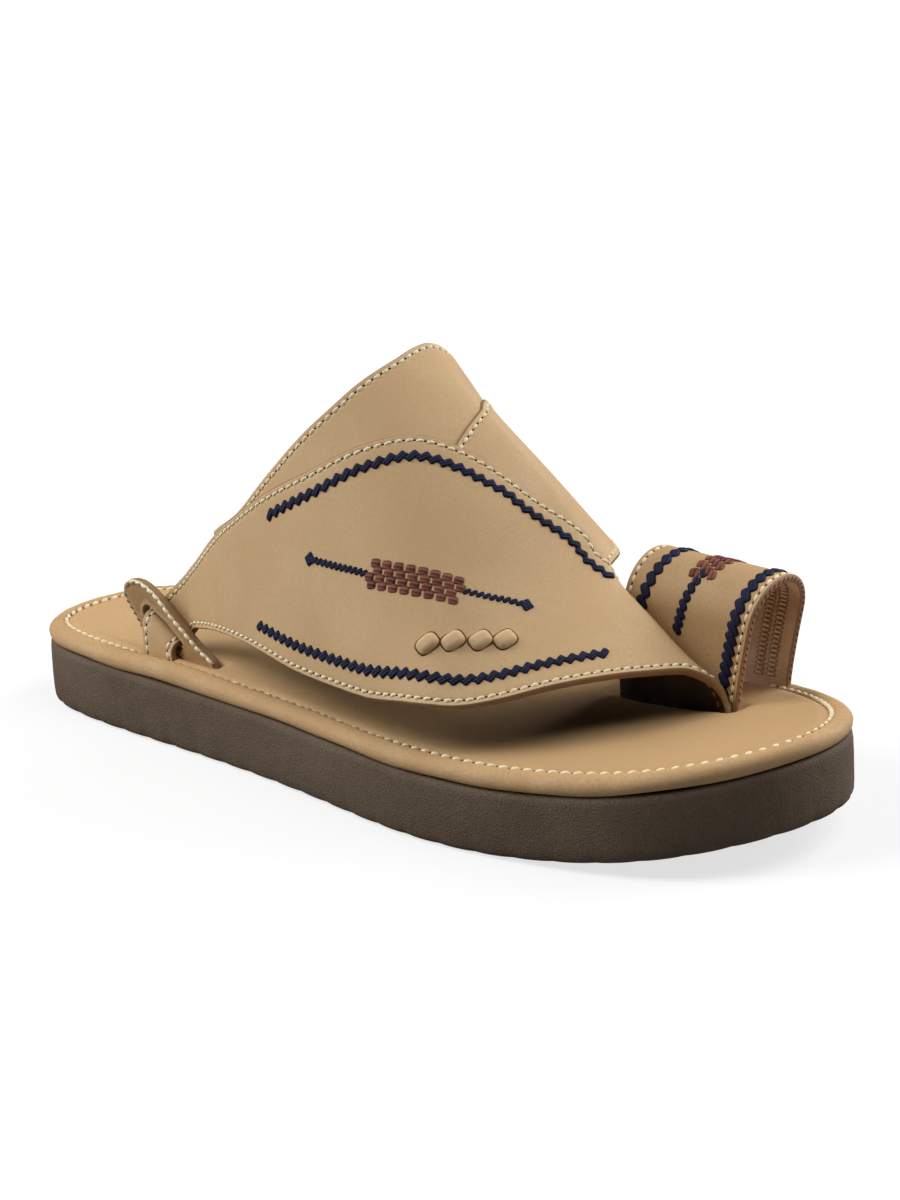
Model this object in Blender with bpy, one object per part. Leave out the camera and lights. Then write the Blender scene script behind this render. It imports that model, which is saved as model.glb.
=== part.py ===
"""Arabic sandal for the right foot, as its maker would cut and lay it up.

Everything is measured in millimetres in the sandal's own frame: x runs to the outer side, y from
the back of the heel to the toe, z up from the floor. The empty "sandal" carries the whole part and
puts the middle of the sole's outline over the origin.
"""
import math

import bmesh
import bpy
import numpy as np

MM = 0.001

# Driving dimensions of the sole, in mm
SOLE_LENGTH = 283.3
SOLE_MIDDLE_X = -0.7
SOLE_THICKNESS = 19.2
SOLE_THINNING = 1.3          # the block is this much thinner at the toe
THINNING_FROM, THINNING_OVER = 60.0, 200.0
TOE_SPRING = 10.8            # rise of the sole at the end of the spring's run
SPRING_FROM, SPRING_OVER = 200.0, 85.0
GAP = 0.3                    # between pieces that touch

# Sole outline: distance from the heel, outer edge and inner edge
OUTLINE = (
    # y, outer x, inner x
    (0.0, 1.3, 1.3),
    (6.9, 22.4, -21.7),
    (27.0, 32.3, -34.3),
    (58.4, 36.2, -37.3),
    (97.9, 39.1, -37.4),
    (141.6, 44.7, -43.2),
    (185.4, 51.1, -50.5),
    (224.9, 47.8, -51.9),
    (256.2, 38.5, -40.9),
    (276.3, 20.7, -21.7),
    (283.3, -0.1, -0.1),
)
AROUND = 72                  # points around the sole's outline

# Rings of the sole block from the tread up: inset from the outline, height, share of the thickness
BLOCK_RINGS = (
    # inset, z, share
    (2.4, 0.0, 0.0),
    (0.9, 0.3, 0.0),
    (0.25, 1.4, 0.0),
    (0.0, 4.0, 0.0),
    (0.1, -6.0, 1.0),
    (0.3, -1.0, 1.0),
    (1.1, -0.1, 1.0),
    (3.0, 0.0, 1.0),
)
# Rings of the footbed from its underside over the rolled rim to the pad
FOOTBED_RINGS = (
    # inset, z over the block
    (2.6, 0.3),
    (0.9, 0.5),
    (0.2, 1.3),
    (0.0, 2.3),
    (0.4, 3.5),
    (1.4, 4.5),
    (3.0, 5.0),
    (4.7, 4.8),
    (5.6, 4.5),
    (6.5, 4.8),
    (8.6, 5.3),
)
PAD_HEIGHT = 5.5             # middle of the pad over the block
HEEL_DISH, HEEL_DISH_Y, HEEL_DISH_REACH = 0.9, 45.0, 34.0
PAD_COLUMNS = 6

# The instep surface that the upper's panels lie on: one arch across the foot for each row.
# crest_x and rise place its top over the footbed, the two walls its feet, and the powers say
# how round it is (2 is an ellipse, 1 a straight tent).
BED_Z = 24.0
INSTEP = (
    # y, crest_x, rise, outer wall x, outer power, inner wall x, inner power
    (52.0, -4.0, 176.0, 16.6, 2.1, -17.6, 2.1),
    (66.0, -4.0, 166.0, 17.9, 2.1, -18.9, 2.1),
    (73.0, -4.0, 160.5, 18.8, 2.1, -19.8, 2.1),
    (82.0, -4.0, 153.0, 21.6, 2.1, -22.6, 2.1),
    (95.0, -4.5, 141.0, 26.6, 2.1, -27.2, 2.0),
    (110.0, -5.0, 126.5, 31.6, 2.1, -32.2, 1.9),
    (140.0, -6.2, 95.3, 39.8, 2.0, -39.0, 1.9),
    (160.0, -7.5, 77.2, 42.9, 1.9, -43.0, 1.45),
    (180.0, -12.5, 55.2, 46.4, 1.8, -46.5, 1.45),
    (195.0, -16.5, 36.2, 49.3, 1.65, -48.0, 1.55),
    (212.0, -21.0, 21.0, 49.5, 1.5, -48.0, 1.6),
)
# Ahead of the instep the lateral leaf narrows to a fold that goes down beside the big toe
TOE_FOLD = (
    # y, crest_x, rise, outer wall x, outer power, fold x, inner power
    (191.0, -18.5, 42.5, 48.8, 1.7, -20.5, 1.6),
    (197.0, -14.5, 35.5, 48.5, 1.6, -17.5, 1.8),
    (203.0, -12.0, 30.0, 48.0, 1.5, -16.5, 2.0),
    (213.0, -11.5, 22.5, 46.0, 1.4, -16.5, 2.2),
    (226.0, -10.5, 13.0, 43.0, 1.35, -16.5, 2.3),
    (240.0, -10.0, 5.0, 38.0, 1.3, -16.5, 2.2),
)
FOLD_JOINS = 185.0           # the instep rows before this also serve the fold
FOLD_X = -19.9               # middle of the lateral leaf's wall in the toe slit
FOLD_RISE = 0.8              # the leaf is upright from this far over the footbed

# Layers of leather: each wall, and how far its middle lies over the instep surface
REAR_WALL, REAR_LEVEL = 2.8, 1.4
MEDIAL_WALL, MEDIAL_LEVEL = 1.8, 2.8
LATERAL_WALL, LATERAL_LEVEL = 2.4, 3.4
LOOP_WALL = 2.2
FOOT_DEPTH = 0.5             # strap feet end this far over the block's top
# Steps along each panel and rows from one of its edges to the other
REAR_GRID = (29, 9)
MEDIAL_GRID = (29, 10)
LATERAL_GRID = (36, 10)

# Panel edges as places on the instep: share of the edge's run, distance from the heel, and the
# angle around the arch, which is -90 at the outer foot, 0 at the crest and 90 at the inner foot
LATERAL_TOP = (
    # share, y, angle
    (0.00, 66.0, -84.0),
    (0.10, 81.2, -79.6),
    (0.20, 97.3, -73.4),
    (0.30, 113.5, -66.0),
    (0.42, 135.0, -51.0),
    (0.52, 148.6, -36.2),
    (0.62, 160.8, -21.2),
    (0.72, 173.0, -11.4),
    (0.81, 186.0, -6.0),
    (0.87, 194.0, -2.5),
    (0.92, 198.5, 16.0),
    (1.00, 199.5, 90.0),
)
LATERAL_LOW = (
    # share, y, angle
    (0.00, 78.0, -87.2),
    (0.12, 98.0, -85.4),
    (0.25, 122.0, -84.0),
    (0.38, 147.0, -82.6),
    (0.50, 169.0, -80.0),
    (0.60, 186.0, -74.0),
    (0.68, 197.5, -67.5),
    (0.75, 206.5, -58.0),
    (0.82, 214.5, -45.0),
    (0.88, 222.0, -29.0),
    (0.93, 228.5, -10.0),
    (0.97, 234.0, 25.0),
    (1.00, 237.5, 90.0),
)
MEDIAL_REAR = (
    # share, y, angle
    (0.00, 66.0, 84.0),
    (0.14, 80.0, 79.0),
    (0.28, 96.0, 73.5),
    (0.42, 114.0, 64.0),
    (0.57, 137.0, 48.0),
    (0.72, 151.5, 27.0),
    (0.86, 161.0, 4.0),
    (1.00, 166.5, -24.0),
)
MEDIAL_FRONT = (
    # share, y, angle
    (0.00, 78.0, 87.2),
    (0.14, 98.0, 85.4),
    (0.28, 122.0, 82.6),
    (0.42, 147.0, 76.0),
    (0.57, 167.0, 62.0),
    (0.70, 180.0, 46.0),
    (0.80, 187.5, 35.0),
    (0.87, 192.5, 26.0),
    (0.94, 196.5, 10.0),
    (1.00, 199.0, -10.0),
)
REAR_BACK = (
    # share, y, angle
    (0.00, 91.5, -74.6),
    (0.12, 106.0, -69.0),
    (0.25, 119.6, -59.2),
    (0.36, 131.2, -45.2),
    (0.44, 138.8, -30.0),
    (0.50, 143.4, -9.0),
    (0.56, 142.8, 14.0),
    (0.66, 134.5, 36.0),
    (0.77, 121.0, 54.0),
    (0.88, 107.0, 66.5),
    (1.00, 91.5, 74.6),
)
REAR_FRONT = (
    # share, y, angle
    (0.00, 99.0, -80.0),
    (0.15, 124.0, -71.0),
    (0.30, 148.0, -54.0),
    (0.42, 164.0, -36.0),
    (0.52, 175.0, -14.0),
    (0.60, 175.0, 4.0),
    (0.72, 164.0, 30.0),
    (0.85, 136.0, 60.0),
    (1.00, 100.0, 80.0),
)

# Middle of the ear strap, from its foot outside the ear, through the slot, to the shell inside:
# the two edges of the strap at each step
EAR_STRAP = (
    # x, rear edge y, z, front edge y, z
    (29.5, 60.0, 19.7, 73.0, 19.7),
    (29.5, 60.0, 22.4, 73.0, 21.4),
    (29.5, 60.0, 26.0, 73.0, 23.0),
    (29.5, 60.0, 29.4, 72.8, 24.4),
    (29.4, 59.8, 32.2, 72.4, 25.4),
    (29.0, 59.6, 34.4, 72.0, 26.6),
    (27.9, 59.5, 35.9, 71.8, 27.6),
    (26.0, 59.5, 36.2, 71.8, 27.8),
    (24.1, 59.5, 36.2, 71.8, 27.8),
    (22.9, 60.0, 37.2, 72.1, 28.6),
    (22.3, 61.6, 39.3, 73.2, 30.0),
)

# Toe loop: the middle of its wall
LOOP_OUTER_X, LOOP_INNER_REAR_X, LOOP_INNER_FRONT_X = -22.8, -46.9, -45.2
LOOP_TOP_Z = 60.9
LOOP_REAR_Y, LOOP_REAR_LEAN = 198.2, 3.4
LOOP_FRONT_Y, LOOP_FRONT_LEAN = 238.4, 8.6
LOOP_LEAN_POWER = 1.2        # the lean grows with this power of the height over the footbed
LOOP_TOP_FALL = 1.6          # the top is this much lower at the front edge
LOOP_STEPS_UP, LOOP_STEPS_OVER, LOOP_ROWS = 4, 14, 8

# Ears: the outer one's plate and slot; the inner one is its mirror image
EAR_X, EAR_WALL = 26.0, 3.2
EAR_MIRROR = -0.5            # an inner piece's x is this less the outer piece's
EAR_EDGE_ROUND = 0.9
EAR_REAR_SLIT_Y = 59.2       # the ear's rear edge where it leaves the footbed
# Outline of the ear seen from the side, from its rear foot over the tip to its front foot
EAR_EDGE = (
    # share, y, z
    (0.00, 60.2, 19.7),
    (0.07, 59.2, 24.0),
    (0.16, 55.2, 32.0),
    (0.25, 49.6, 40.0),
    (0.31, 50.0, 43.4),
    (0.38, 54.4, 45.2),
    (0.48, 61.8, 43.0),
    (0.60, 69.0, 37.8),
    (0.74, 77.0, 31.2),
    (0.87, 83.6, 26.4),
    (0.95, 87.0, 23.6),
    (1.00, 87.6, 19.7),
)
SLOT_MIDDLE = (65.8, 31.9)
SLOT_LENGTH, SLOT_HEIGHT = 17.8, 4.0
SLOT_SLOPE = math.radians(-34.4)
EAR_STEPS = 26

SLIT_REACH = 15.0            # the slits' cutters reach this far over and under the bed
SHARP_ANGLE = math.radians(45)


def pchip(at, rows):
    """Smooth curve through table rows, with no overshoot: cubic Hermite pieces whose slope at
    each row is the harmonic mean of the slopes on its two sides, or zero at a turn."""
    rows = np.asarray(rows, float)
    x, y = rows[:, 0], rows[:, 1:]
    step = np.diff(x)[:, None]
    slope = np.diff(y, axis=0) / step
    before, after = slope[:-1], slope[1:]
    wide, narrow = 2 * step[1:] + step[:-1], step[1:] + 2 * step[:-1]
    same_way = before * after > 0
    safe_before, safe_after = np.where(same_way, before, 1), np.where(same_way, after, 1)
    inner = np.where(same_way, (wide + narrow) / (wide / safe_before + narrow / safe_after), 0)
    tangent = np.vstack([slope[:1], inner, slope[-1:]])
    at = np.clip(np.asarray(at, float), x[0], x[-1])
    piece = np.clip(np.searchsorted(x, at, side="right") - 1, 0, len(x) - 2)
    h = step[piece]
    s = ((at - x[piece])[..., None]) / h
    return ((1 + 2 * s) * (1 - s) ** 2 * y[piece] + s * (1 - s) ** 2 * h * tangent[piece]
            + s * s * (3 - 2 * s) * y[piece + 1] + s * s * (s - 1) * h * tangent[piece + 1])


def curve(at, rows):
    """Natural cubic spline through table rows, whose first column is the parameter."""
    rows = np.asarray(rows, float)
    x, y = rows[:, 0], rows[:, 1:]
    count, step = len(x), np.diff(x)
    matrix, right = np.eye(count), np.zeros_like(y)
    for k in range(1, count - 1):
        matrix[k, k - 1:k + 2] = step[k - 1], 2 * (step[k - 1] + step[k]), step[k]
        right[k] = 6 * ((y[k + 1] - y[k]) / step[k] - (y[k] - y[k - 1]) / step[k - 1])
    bend = np.linalg.solve(matrix, right)
    at = np.clip(np.asarray(at, float), x[0], x[-1])
    k = np.clip(np.searchsorted(x, at, side="right") - 1, 0, count - 2)
    h = step[k][..., None]
    a, b = (x[k + 1] - at)[..., None] / h, (at - x[k])[..., None] / h
    return a * y[k] + b * y[k + 1] + ((a ** 3 - a) * bend[k] + (b ** 3 - b) * bend[k + 1]) * h * h / 6


# ---------------------------------------------------------------- sole

def lift(y):
    """Toe spring: how far the sole's underside has left the floor at y."""
    run = np.maximum((np.asarray(y, float) - SPRING_FROM) / SPRING_OVER, 0)
    return TOE_SPRING * run * run


def block_top(y):
    """Height of the sole block's top over the floor at y."""
    thinner = SOLE_THINNING * np.clip((np.asarray(y, float) - THINNING_FROM) / THINNING_OVER, 0, 1)
    return SOLE_THICKNESS - thinner + lift(y)


def outline_x(angle):
    """Outline's x at an angle around the sole, 0 at the heel and pi at the toe, outer side first:
    a periodic cubic spline through the outline table, where y is half the length times one minus
    the angle's cosine."""
    table = np.asarray(OUTLINE)
    first = np.arccos(1 - 2 * table[:, 0] / SOLE_LENGTH)
    knots = np.concatenate([first, 2 * math.pi - first[-2:0:-1]])
    values = np.concatenate([table[:, 1], table[-2:0:-1, 2]])
    laps = np.concatenate([knots - 2 * math.pi, knots, knots + 2 * math.pi])
    return curve(angle, np.column_stack([laps, np.tile(values, 3)]))[..., 0]


def outline_ring(inset):
    """Points of the sole's outline moved inwards by inset, along the outline's own normal."""
    angle = 2 * math.pi * np.arange(AROUND) / AROUND
    small = 1e-3

    def place(a):
        return np.column_stack([outline_x(a % (2 * math.pi)), SOLE_LENGTH / 2 * (1 - np.cos(a))])

    along = place(angle + small) - place(angle - small)
    along /= np.linalg.norm(along, axis=1)[:, None]
    inward = np.column_stack([-along[:, 1], along[:, 0]])
    return place(angle) + inset * inward


def bridged_rings(first, count):
    """Faces between count rings of AROUND points each, the first of them at index first."""
    faces = []
    for ring in range(count - 1):
        low = first + ring * AROUND
        for k in range(AROUND):
            after = (k + 1) % AROUND
            faces.append((low + k, low + after, low + AROUND + after, low + AROUND + k))
    return faces


def cover(points, faces, ring_start, columns, height, up):
    """Close a ring with rows of points that run across the sole, one row for each pair of ring
    points at like distance from the heel. height(x, y) gives the rows' z."""
    half = AROUND // 2
    rows = []
    for k in range(1, half):
        outer, inner = ring_start + k, ring_start + AROUND - k
        row = [outer]
        for c in range(1, columns):
            share = c / columns
            x = (1 - share) * points[outer][0] + share * points[inner][0]
            y = (1 - share) * points[outer][1] + share * points[inner][1]
            row.append(len(points))
            points.append((x, y, float(height(x, y))))
        row.append(inner)
        rows.append(row)
    heel, toe = ring_start, ring_start + half
    fresh = []
    for c in range(columns):
        fresh.append((heel, rows[0][c], rows[0][c + 1]))
        fresh.append((toe, rows[-1][c + 1], rows[-1][c]))
        for near, far in zip(rows[:-1], rows[1:]):
            fresh.append((near[c], far[c], far[c + 1], near[c + 1]))
    faces.extend(fresh if up else [tuple(reversed(f)) for f in fresh])


def pad_z(x, y):
    """Top of the footbed's pad at a place inside its rim: level, with a shallow dish at the heel."""
    away = np.hypot(x, y - HEEL_DISH_Y) / HEEL_DISH_REACH
    dish = HEEL_DISH * np.exp(-away ** 2 * 2)
    return block_top(y) + PAD_HEIGHT - dish


def outsole(material):
    """Sole block: flat from heel to ball, then the toe spring, with a rounded tread edge."""
    points = []
    for inset, z, share in BLOCK_RINGS:
        for x, y in outline_ring(inset):
            base = lift(y) if share == 0 else block_top(y)
            points.append((x, y, float(base) + z))
    faces = bridged_rings(0, len(BLOCK_RINGS))
    cover(points, faces, 0, 2, lambda x, y: lift(y), up=False)
    last_ring = (len(BLOCK_RINGS) - 1) * AROUND
    cover(points, faces, last_ring, 2, lambda x, y: block_top(y), up=True)
    return solid("outsole", points, faces, material)


def footbed(material, cutters):
    """Padded footbed with its rolled rim and the slits for the straps."""
    points = []
    for inset, z in FOOTBED_RINGS:
        for x, y in outline_ring(inset):
            points.append((x, y, float(block_top(y)) + z))
    faces = bridged_rings(0, len(FOOTBED_RINGS))
    cover(points, faces, 0, 2, lambda x, y: block_top(y) + GAP, up=False)
    last_ring = (len(FOOTBED_RINGS) - 1) * AROUND
    cover(points, faces, last_ring, PAD_COLUMNS, pad_z, up=True)
    bed = solid("footbed", points, faces, material)
    for cutter in cutters:
        combine(bed, cutter, "DIFFERENCE")
    return bed


# ---------------------------------------------------------------- upper

def arch(rows, y, angle):
    """Point of an arch surface: at y the row gives crest, rise, walls and powers, and the angle
    runs round the superellipse from the outer foot over the crest to the inner foot."""
    crest, rise, outer, outer_power, inner, inner_power = np.moveaxis(pchip(y, rows), -1, 0)
    side, up = np.sin(angle), np.cos(angle)
    on_outer = side < 0
    power = np.where(on_outer, outer_power, inner_power)
    width = np.where(on_outer, outer - crest, inner - crest)
    x = crest + width * np.abs(side) ** (2 / power)
    z = BED_Z + rise * np.abs(up) ** (2 / power)
    return np.stack([x, y, z], -1)


def fold_arch(rows, y, angle):
    """The arch of the toe fold: as arch, but its inner side stands on the footbed at y."""
    place = arch(rows, y, angle)
    bed = block_top(y) + PAD_HEIGHT
    crest = pchip(y, rows)[..., 1] + BED_Z
    share = (place[..., 2] - BED_Z) / (crest - BED_Z)
    place[..., 2] = np.where(angle > 0, bed + (crest - bed) * share, place[..., 2])
    return place


def down_the_slit(grid):
    """The lateral leaf's grid with its last row set upright over the toe slit and one more row
    at the foot of the slit."""
    y = grid[-1][:, 1]
    upright = np.full_like(y, FOLD_X)
    top = np.column_stack([upright, y, block_top(y) + PAD_HEIGHT + FOLD_RISE])
    foot = np.column_stack([upright, y, block_top(y) + FOOT_DEPTH])
    return np.concatenate([grid[:-1], top[None], foot[None]])


def normals(grid):
    """Unit normals of a grid of points, from the differences between neighbours both ways."""
    across = np.gradient(grid, axis=0)
    along = np.gradient(grid, axis=1)
    normal = np.cross(across, along)
    return normal / np.linalg.norm(normal, axis=-1, keepdims=True)


def panel(surface, near_edge, far_edge, level, count, rows):
    """Middle of a panel's wall: count steps along its two edges and rows steps from one edge to
    the other, as places on the instep, lifted by level along the surface's own normal."""
    share = np.linspace(0, 1, count)
    near, far = pchip(share, near_edge), pchip(share, far_edge)
    blend = np.linspace(0, 1, rows)[None, :, None]
    place = near[:, None] * (1 - blend) + far[:, None] * blend
    grid = surface(place[..., 0], np.radians(place[..., 1]))
    normal = normals(grid)
    middle = normal[count // 2, rows // 2]
    return grid + level * normal * math.copysign(1, middle[2])


def strap_rows(rows, side):
    """Rows of the ear strap from its foot to the shell. side mirrors it to the inner ear."""
    table = np.asarray(EAR_STRAP)
    x = table[:, 0] if side > 0 else EAR_MIRROR - table[:, 0]
    share = np.linspace(0, 1, rows)[None, :, None]
    rear = np.stack([x, table[:, 1], table[:, 2]], -1)[:, None]
    front = np.stack([x, table[:, 3], table[:, 4]], -1)[:, None]
    return rear * (1 - share) + front * share


def sheet(grid, wall):
    """Points and faces of a closed sheet of leather: a grid of points thickened by wall."""
    count, rows = grid.shape[:2]
    normal = normals(grid) * wall / 2
    points = np.concatenate([(grid + normal).reshape(-1, 3), (grid - normal).reshape(-1, 3)])
    below = count * rows
    faces = []
    for i in range(count - 1):
        for j in range(rows - 1):
            a, b = i * rows + j, (i + 1) * rows + j
            faces.append((a, b, b + 1, a + 1))
            faces.append((below + a + 1, below + b + 1, below + b, below + a))
    border = [i * rows for i in range(count)]
    border += [(count - 1) * rows + j for j in range(1, rows)]
    border += [i * rows + rows - 1 for i in range(count - 2, -1, -1)]
    border += [j for j in range(rows - 2, 0, -1)]
    for a, b in zip(border, border[1:] + border[:1]):
        faces.append((b, a, below + a, below + b))
    return points, faces


def upper(material):
    """Hollow upper: rear panel, medial leaf and lateral leaf as sheets one on the other, joined
    into one solid where they cross. Both leaves carry their ear strap."""
    low_rows = [row for row in INSTEP if row[0] < FOLD_JOINS]
    fold = low_rows + list(TOE_FOLD)

    def instep(y, angle):
        return arch(INSTEP, y, angle)

    def with_fold(y, angle):
        return fold_arch(fold, y, angle)

    rear_grid = panel(instep, REAR_BACK, REAR_FRONT, REAR_LEVEL, *REAR_GRID)
    medial_grid = panel(instep, MEDIAL_REAR, MEDIAL_FRONT, MEDIAL_LEVEL, *MEDIAL_GRID)
    lateral_grid = panel(with_fold, LATERAL_TOP, LATERAL_LOW, LATERAL_LEVEL, *LATERAL_GRID)
    medial_grid = np.concatenate([strap_rows(MEDIAL_GRID[1], -1), medial_grid])
    lateral_grid = np.concatenate([strap_rows(LATERAL_GRID[1], 1), down_the_slit(lateral_grid)])
    body = solid("upper", *sheet(lateral_grid, LATERAL_WALL), material)
    combine(body, solid("medial_leaf", *sheet(medial_grid, MEDIAL_WALL), material), "UNION")
    combine(body, solid("rear_panel", *sheet(rear_grid, REAR_WALL), material), "UNION")
    return body


# ---------------------------------------------------------------- toe loop

def loop_grid():
    """Middle of the toe loop's wall: two upright flanks joined by a half ellipse, carried from
    the rear edge to the front edge, both of which lean forwards with height."""
    rows = np.linspace(0, 1, LOOP_ROWS)
    grid = []
    for share in rows:
        inner_x = LOOP_INNER_REAR_X + (LOOP_INNER_FRONT_X - LOOP_INNER_REAR_X) * share
        middle, half = (LOOP_OUTER_X + inner_x) / 2, (LOOP_OUTER_X - inner_x) / 2
        top = LOOP_TOP_Z - LOOP_TOP_FALL * share
        spring = top - half
        base_y = LOOP_REAR_Y + (LOOP_FRONT_Y - LOOP_REAR_Y) * share
        foot = float(block_top(base_y)) + FOOT_DEPTH
        flank = np.linspace(foot, spring, LOOP_STEPS_UP + 1)
        turn = np.radians(np.linspace(0, 180, LOOP_STEPS_OVER + 1))[1:-1]
        x = np.concatenate([np.full(flank.size, LOOP_OUTER_X), middle + half * np.cos(turn),
                            np.full(flank.size, inner_x)])
        z = np.concatenate([flank, spring + half * np.sin(turn), flank[::-1]])
        bed = float(block_top(base_y)) + PAD_HEIGHT
        height = np.clip((z - bed) / (LOOP_TOP_Z - bed), 0, 1)
        lean = LOOP_REAR_LEAN * (1 - share) + LOOP_FRONT_LEAN * share
        grid.append(np.column_stack([x, base_y + lean * height ** LOOP_LEAN_POWER, z]))
    return np.swapaxes(np.array(grid), 0, 1)


def toe_loop(material):
    """Toe loop: one band of leather over the big toe, both feet in the footbed's slits."""
    return solid("toe_loop", *sheet(loop_grid(), LOOP_WALL), material)


# ---------------------------------------------------------------- ears

def ear_outline():
    """Outline of an ear in its own plane, as points from its rear foot to its front foot."""
    return curve(np.linspace(0, 1, EAR_STEPS), EAR_EDGE)


def slot_outline():
    """Outline of the ear's slot: two straight sides with half-round ends."""
    half, radius = SLOT_LENGTH / 2 - SLOT_HEIGHT / 2, SLOT_HEIGHT / 2
    turn = np.radians(np.linspace(-90, 90, 5))
    front = np.column_stack([half + radius * np.cos(turn), radius * np.sin(turn)])
    around = np.concatenate([front, -front])
    cos, sin = math.cos(SLOT_SLOPE), math.sin(SLOT_SLOPE)
    turned = np.column_stack([around[:, 0] * cos - around[:, 1] * sin,
                              around[:, 0] * sin + around[:, 1] * cos])
    return turned + np.asarray(SLOT_MIDDLE)


def ear(name, side, material):
    """Slotted ear with softened edges. side is 1 for the outer ear and -1 for the inner one."""
    middle = EAR_X if side > 0 else EAR_MIRROR - EAR_X
    half = EAR_WALL / 2
    outline = [(middle, y, z) for y, z in ear_outline()]
    plate = prism(name, outline, (half, 0, 0), material)
    hole = [(middle, y, z) for y, z in slot_outline()]
    slot = prism(name + "_slot", hole, (2 * half, 0, 0), material)
    soften = plate.modifiers.new("edges", "BEVEL")
    soften.width = EAR_EDGE_ROUND * MM
    soften.segments = 2
    soften.limit_method = "ANGLE"
    soften.angle_limit = SHARP_ANGLE
    combine(plate, slot, "DIFFERENCE")
    return plate


# ---------------------------------------------------------------- slits of the footbed

def slit(name, corners, material):
    """Cutter that goes down through the footbed: corners are its plan, as x and y."""
    return prism(name, [(x, y, BED_Z) for x, y in corners], (0, 0, SLIT_REACH), material)


def slits(material):
    """Every slit: the toe slit, the toe loop's inner slit, and one for each ear and its strap."""
    half = LOOP_WALL / 2 + GAP
    rear, front = LOOP_REAR_Y - GAP, LOOP_FRONT_Y + GAP
    inner, outer = LOOP_OUTER_X - half, FOLD_X + LATERAL_WALL / 2 + GAP
    toe = [(inner, rear), (outer, rear), (outer, front), (inner, front)]
    cutters = [slit("toe_slit", toe, material)]
    loop = [(LOOP_INNER_REAR_X - half, rear), (LOOP_INNER_REAR_X + half, rear),
            (LOOP_INNER_FRONT_X + half, front), (LOOP_INNER_FRONT_X - half, front)]
    cutters.append(slit("toe_loop_slit", loop, material))
    ear_half = EAR_WALL / 2 + GAP
    strap_x = EAR_STRAP[0][0] + LATERAL_WALL / 2 + GAP
    strap_rear, strap_front = EAR_STRAP[0][1] - GAP, EAR_STRAP[0][3] + GAP
    ear_rear, ear_front = EAR_REAR_SLIT_Y - GAP, EAR_EDGE[-1][1] + GAP
    plan = [(EAR_X - ear_half, ear_rear), (EAR_X + ear_half, ear_rear),
            (EAR_X + ear_half, strap_rear), (strap_x, strap_rear), (strap_x, strap_front),
            (EAR_X + ear_half, strap_front), (EAR_X + ear_half, ear_front),
            (EAR_X - ear_half, ear_front)]
    for name, side in (("outer_ear_slit", 1), ("inner_ear_slit", -1)):
        corners = [(x if side > 0 else EAR_MIRROR - x, y) for x, y in plan]
        cutters.append(slit(name, corners, material))
    return cutters


# ---------------------------------------------------------------- assembly

def finish(name, colour, roughness):
    """One Principled material."""
    material = bpy.data.materials.new(name)
    material.use_nodes = True
    shader = material.node_tree.nodes["Principled BSDF"]
    shader.inputs["Base Color"].default_value = (*colour, 1.0)
    shader.inputs["Roughness"].default_value = roughness
    shader.inputs["Metallic"].default_value = 0.0
    return material


def solid(name, points, faces, material):
    """Mesh object from points in mm, its faces turned outwards, on the sandal's empty."""
    mesh = bpy.data.meshes.new(name)
    mesh.from_pydata([tuple(float(c) * MM for c in point) for point in points], [], faces)
    shaped = bmesh.new()
    shaped.from_mesh(mesh)
    bmesh.ops.recalc_face_normals(shaped, faces=shaped.faces)
    shaped.to_mesh(mesh)
    shaped.free()
    mesh.materials.append(material)
    mesh.shade_smooth()
    mesh.set_sharp_from_angle(angle=SHARP_ANGLE)
    shape = bpy.data.objects.new(name, mesh)
    bpy.context.scene.collection.objects.link(shape)
    shape.parent = bpy.data.objects["sandal"]
    return shape


def prism(name, outline, reach, material):
    """Solid of a flat outline carried by reach to both sides of its plane."""
    count = len(outline)
    points = [tuple(np.add(p, np.multiply(side, reach))) for side in (-1, 1) for p in outline]
    faces = [tuple(range(count)), tuple(range(2 * count - 1, count - 1, -1))]
    for k in range(count):
        after = (k + 1) % count
        faces.append((k, k + count, after + count, after))
    return solid(name, points, faces, material)


def combine(body, tool, operation):
    """Exact Boolean of body with tool, which is then only a hidden tool."""
    tool.hide_render = True
    tool.display_type = "WIRE"
    step = body.modifiers.new(tool.name, "BOOLEAN")
    step.solver = "EXACT"
    step.operation = operation
    step.object = tool


def main():
    for old in list(bpy.data.objects):
        bpy.data.objects.remove(old, do_unlink=True)
    sandal = bpy.data.objects.new("sandal", None)
    bpy.context.scene.collection.objects.link(sandal)
    sandal.location = (-SOLE_MIDDLE_X * MM, -SOLE_LENGTH / 2 * MM, 0.0)
    tan = finish("tan_leather", (0.50, 0.34, 0.20), 0.6)
    bed_tan = finish("footbed_leather", (0.46, 0.31, 0.18), 0.62)
    dark = finish("sole_compound", (0.085, 0.066, 0.05), 0.55)
    outsole(dark)
    footbed(bed_tan, slits(bed_tan))
    upper(tan)
    toe_loop(tan)
    ear("ear_lateral", 1, tan)
    ear("ear_medial", -1, tan)


main()
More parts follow.
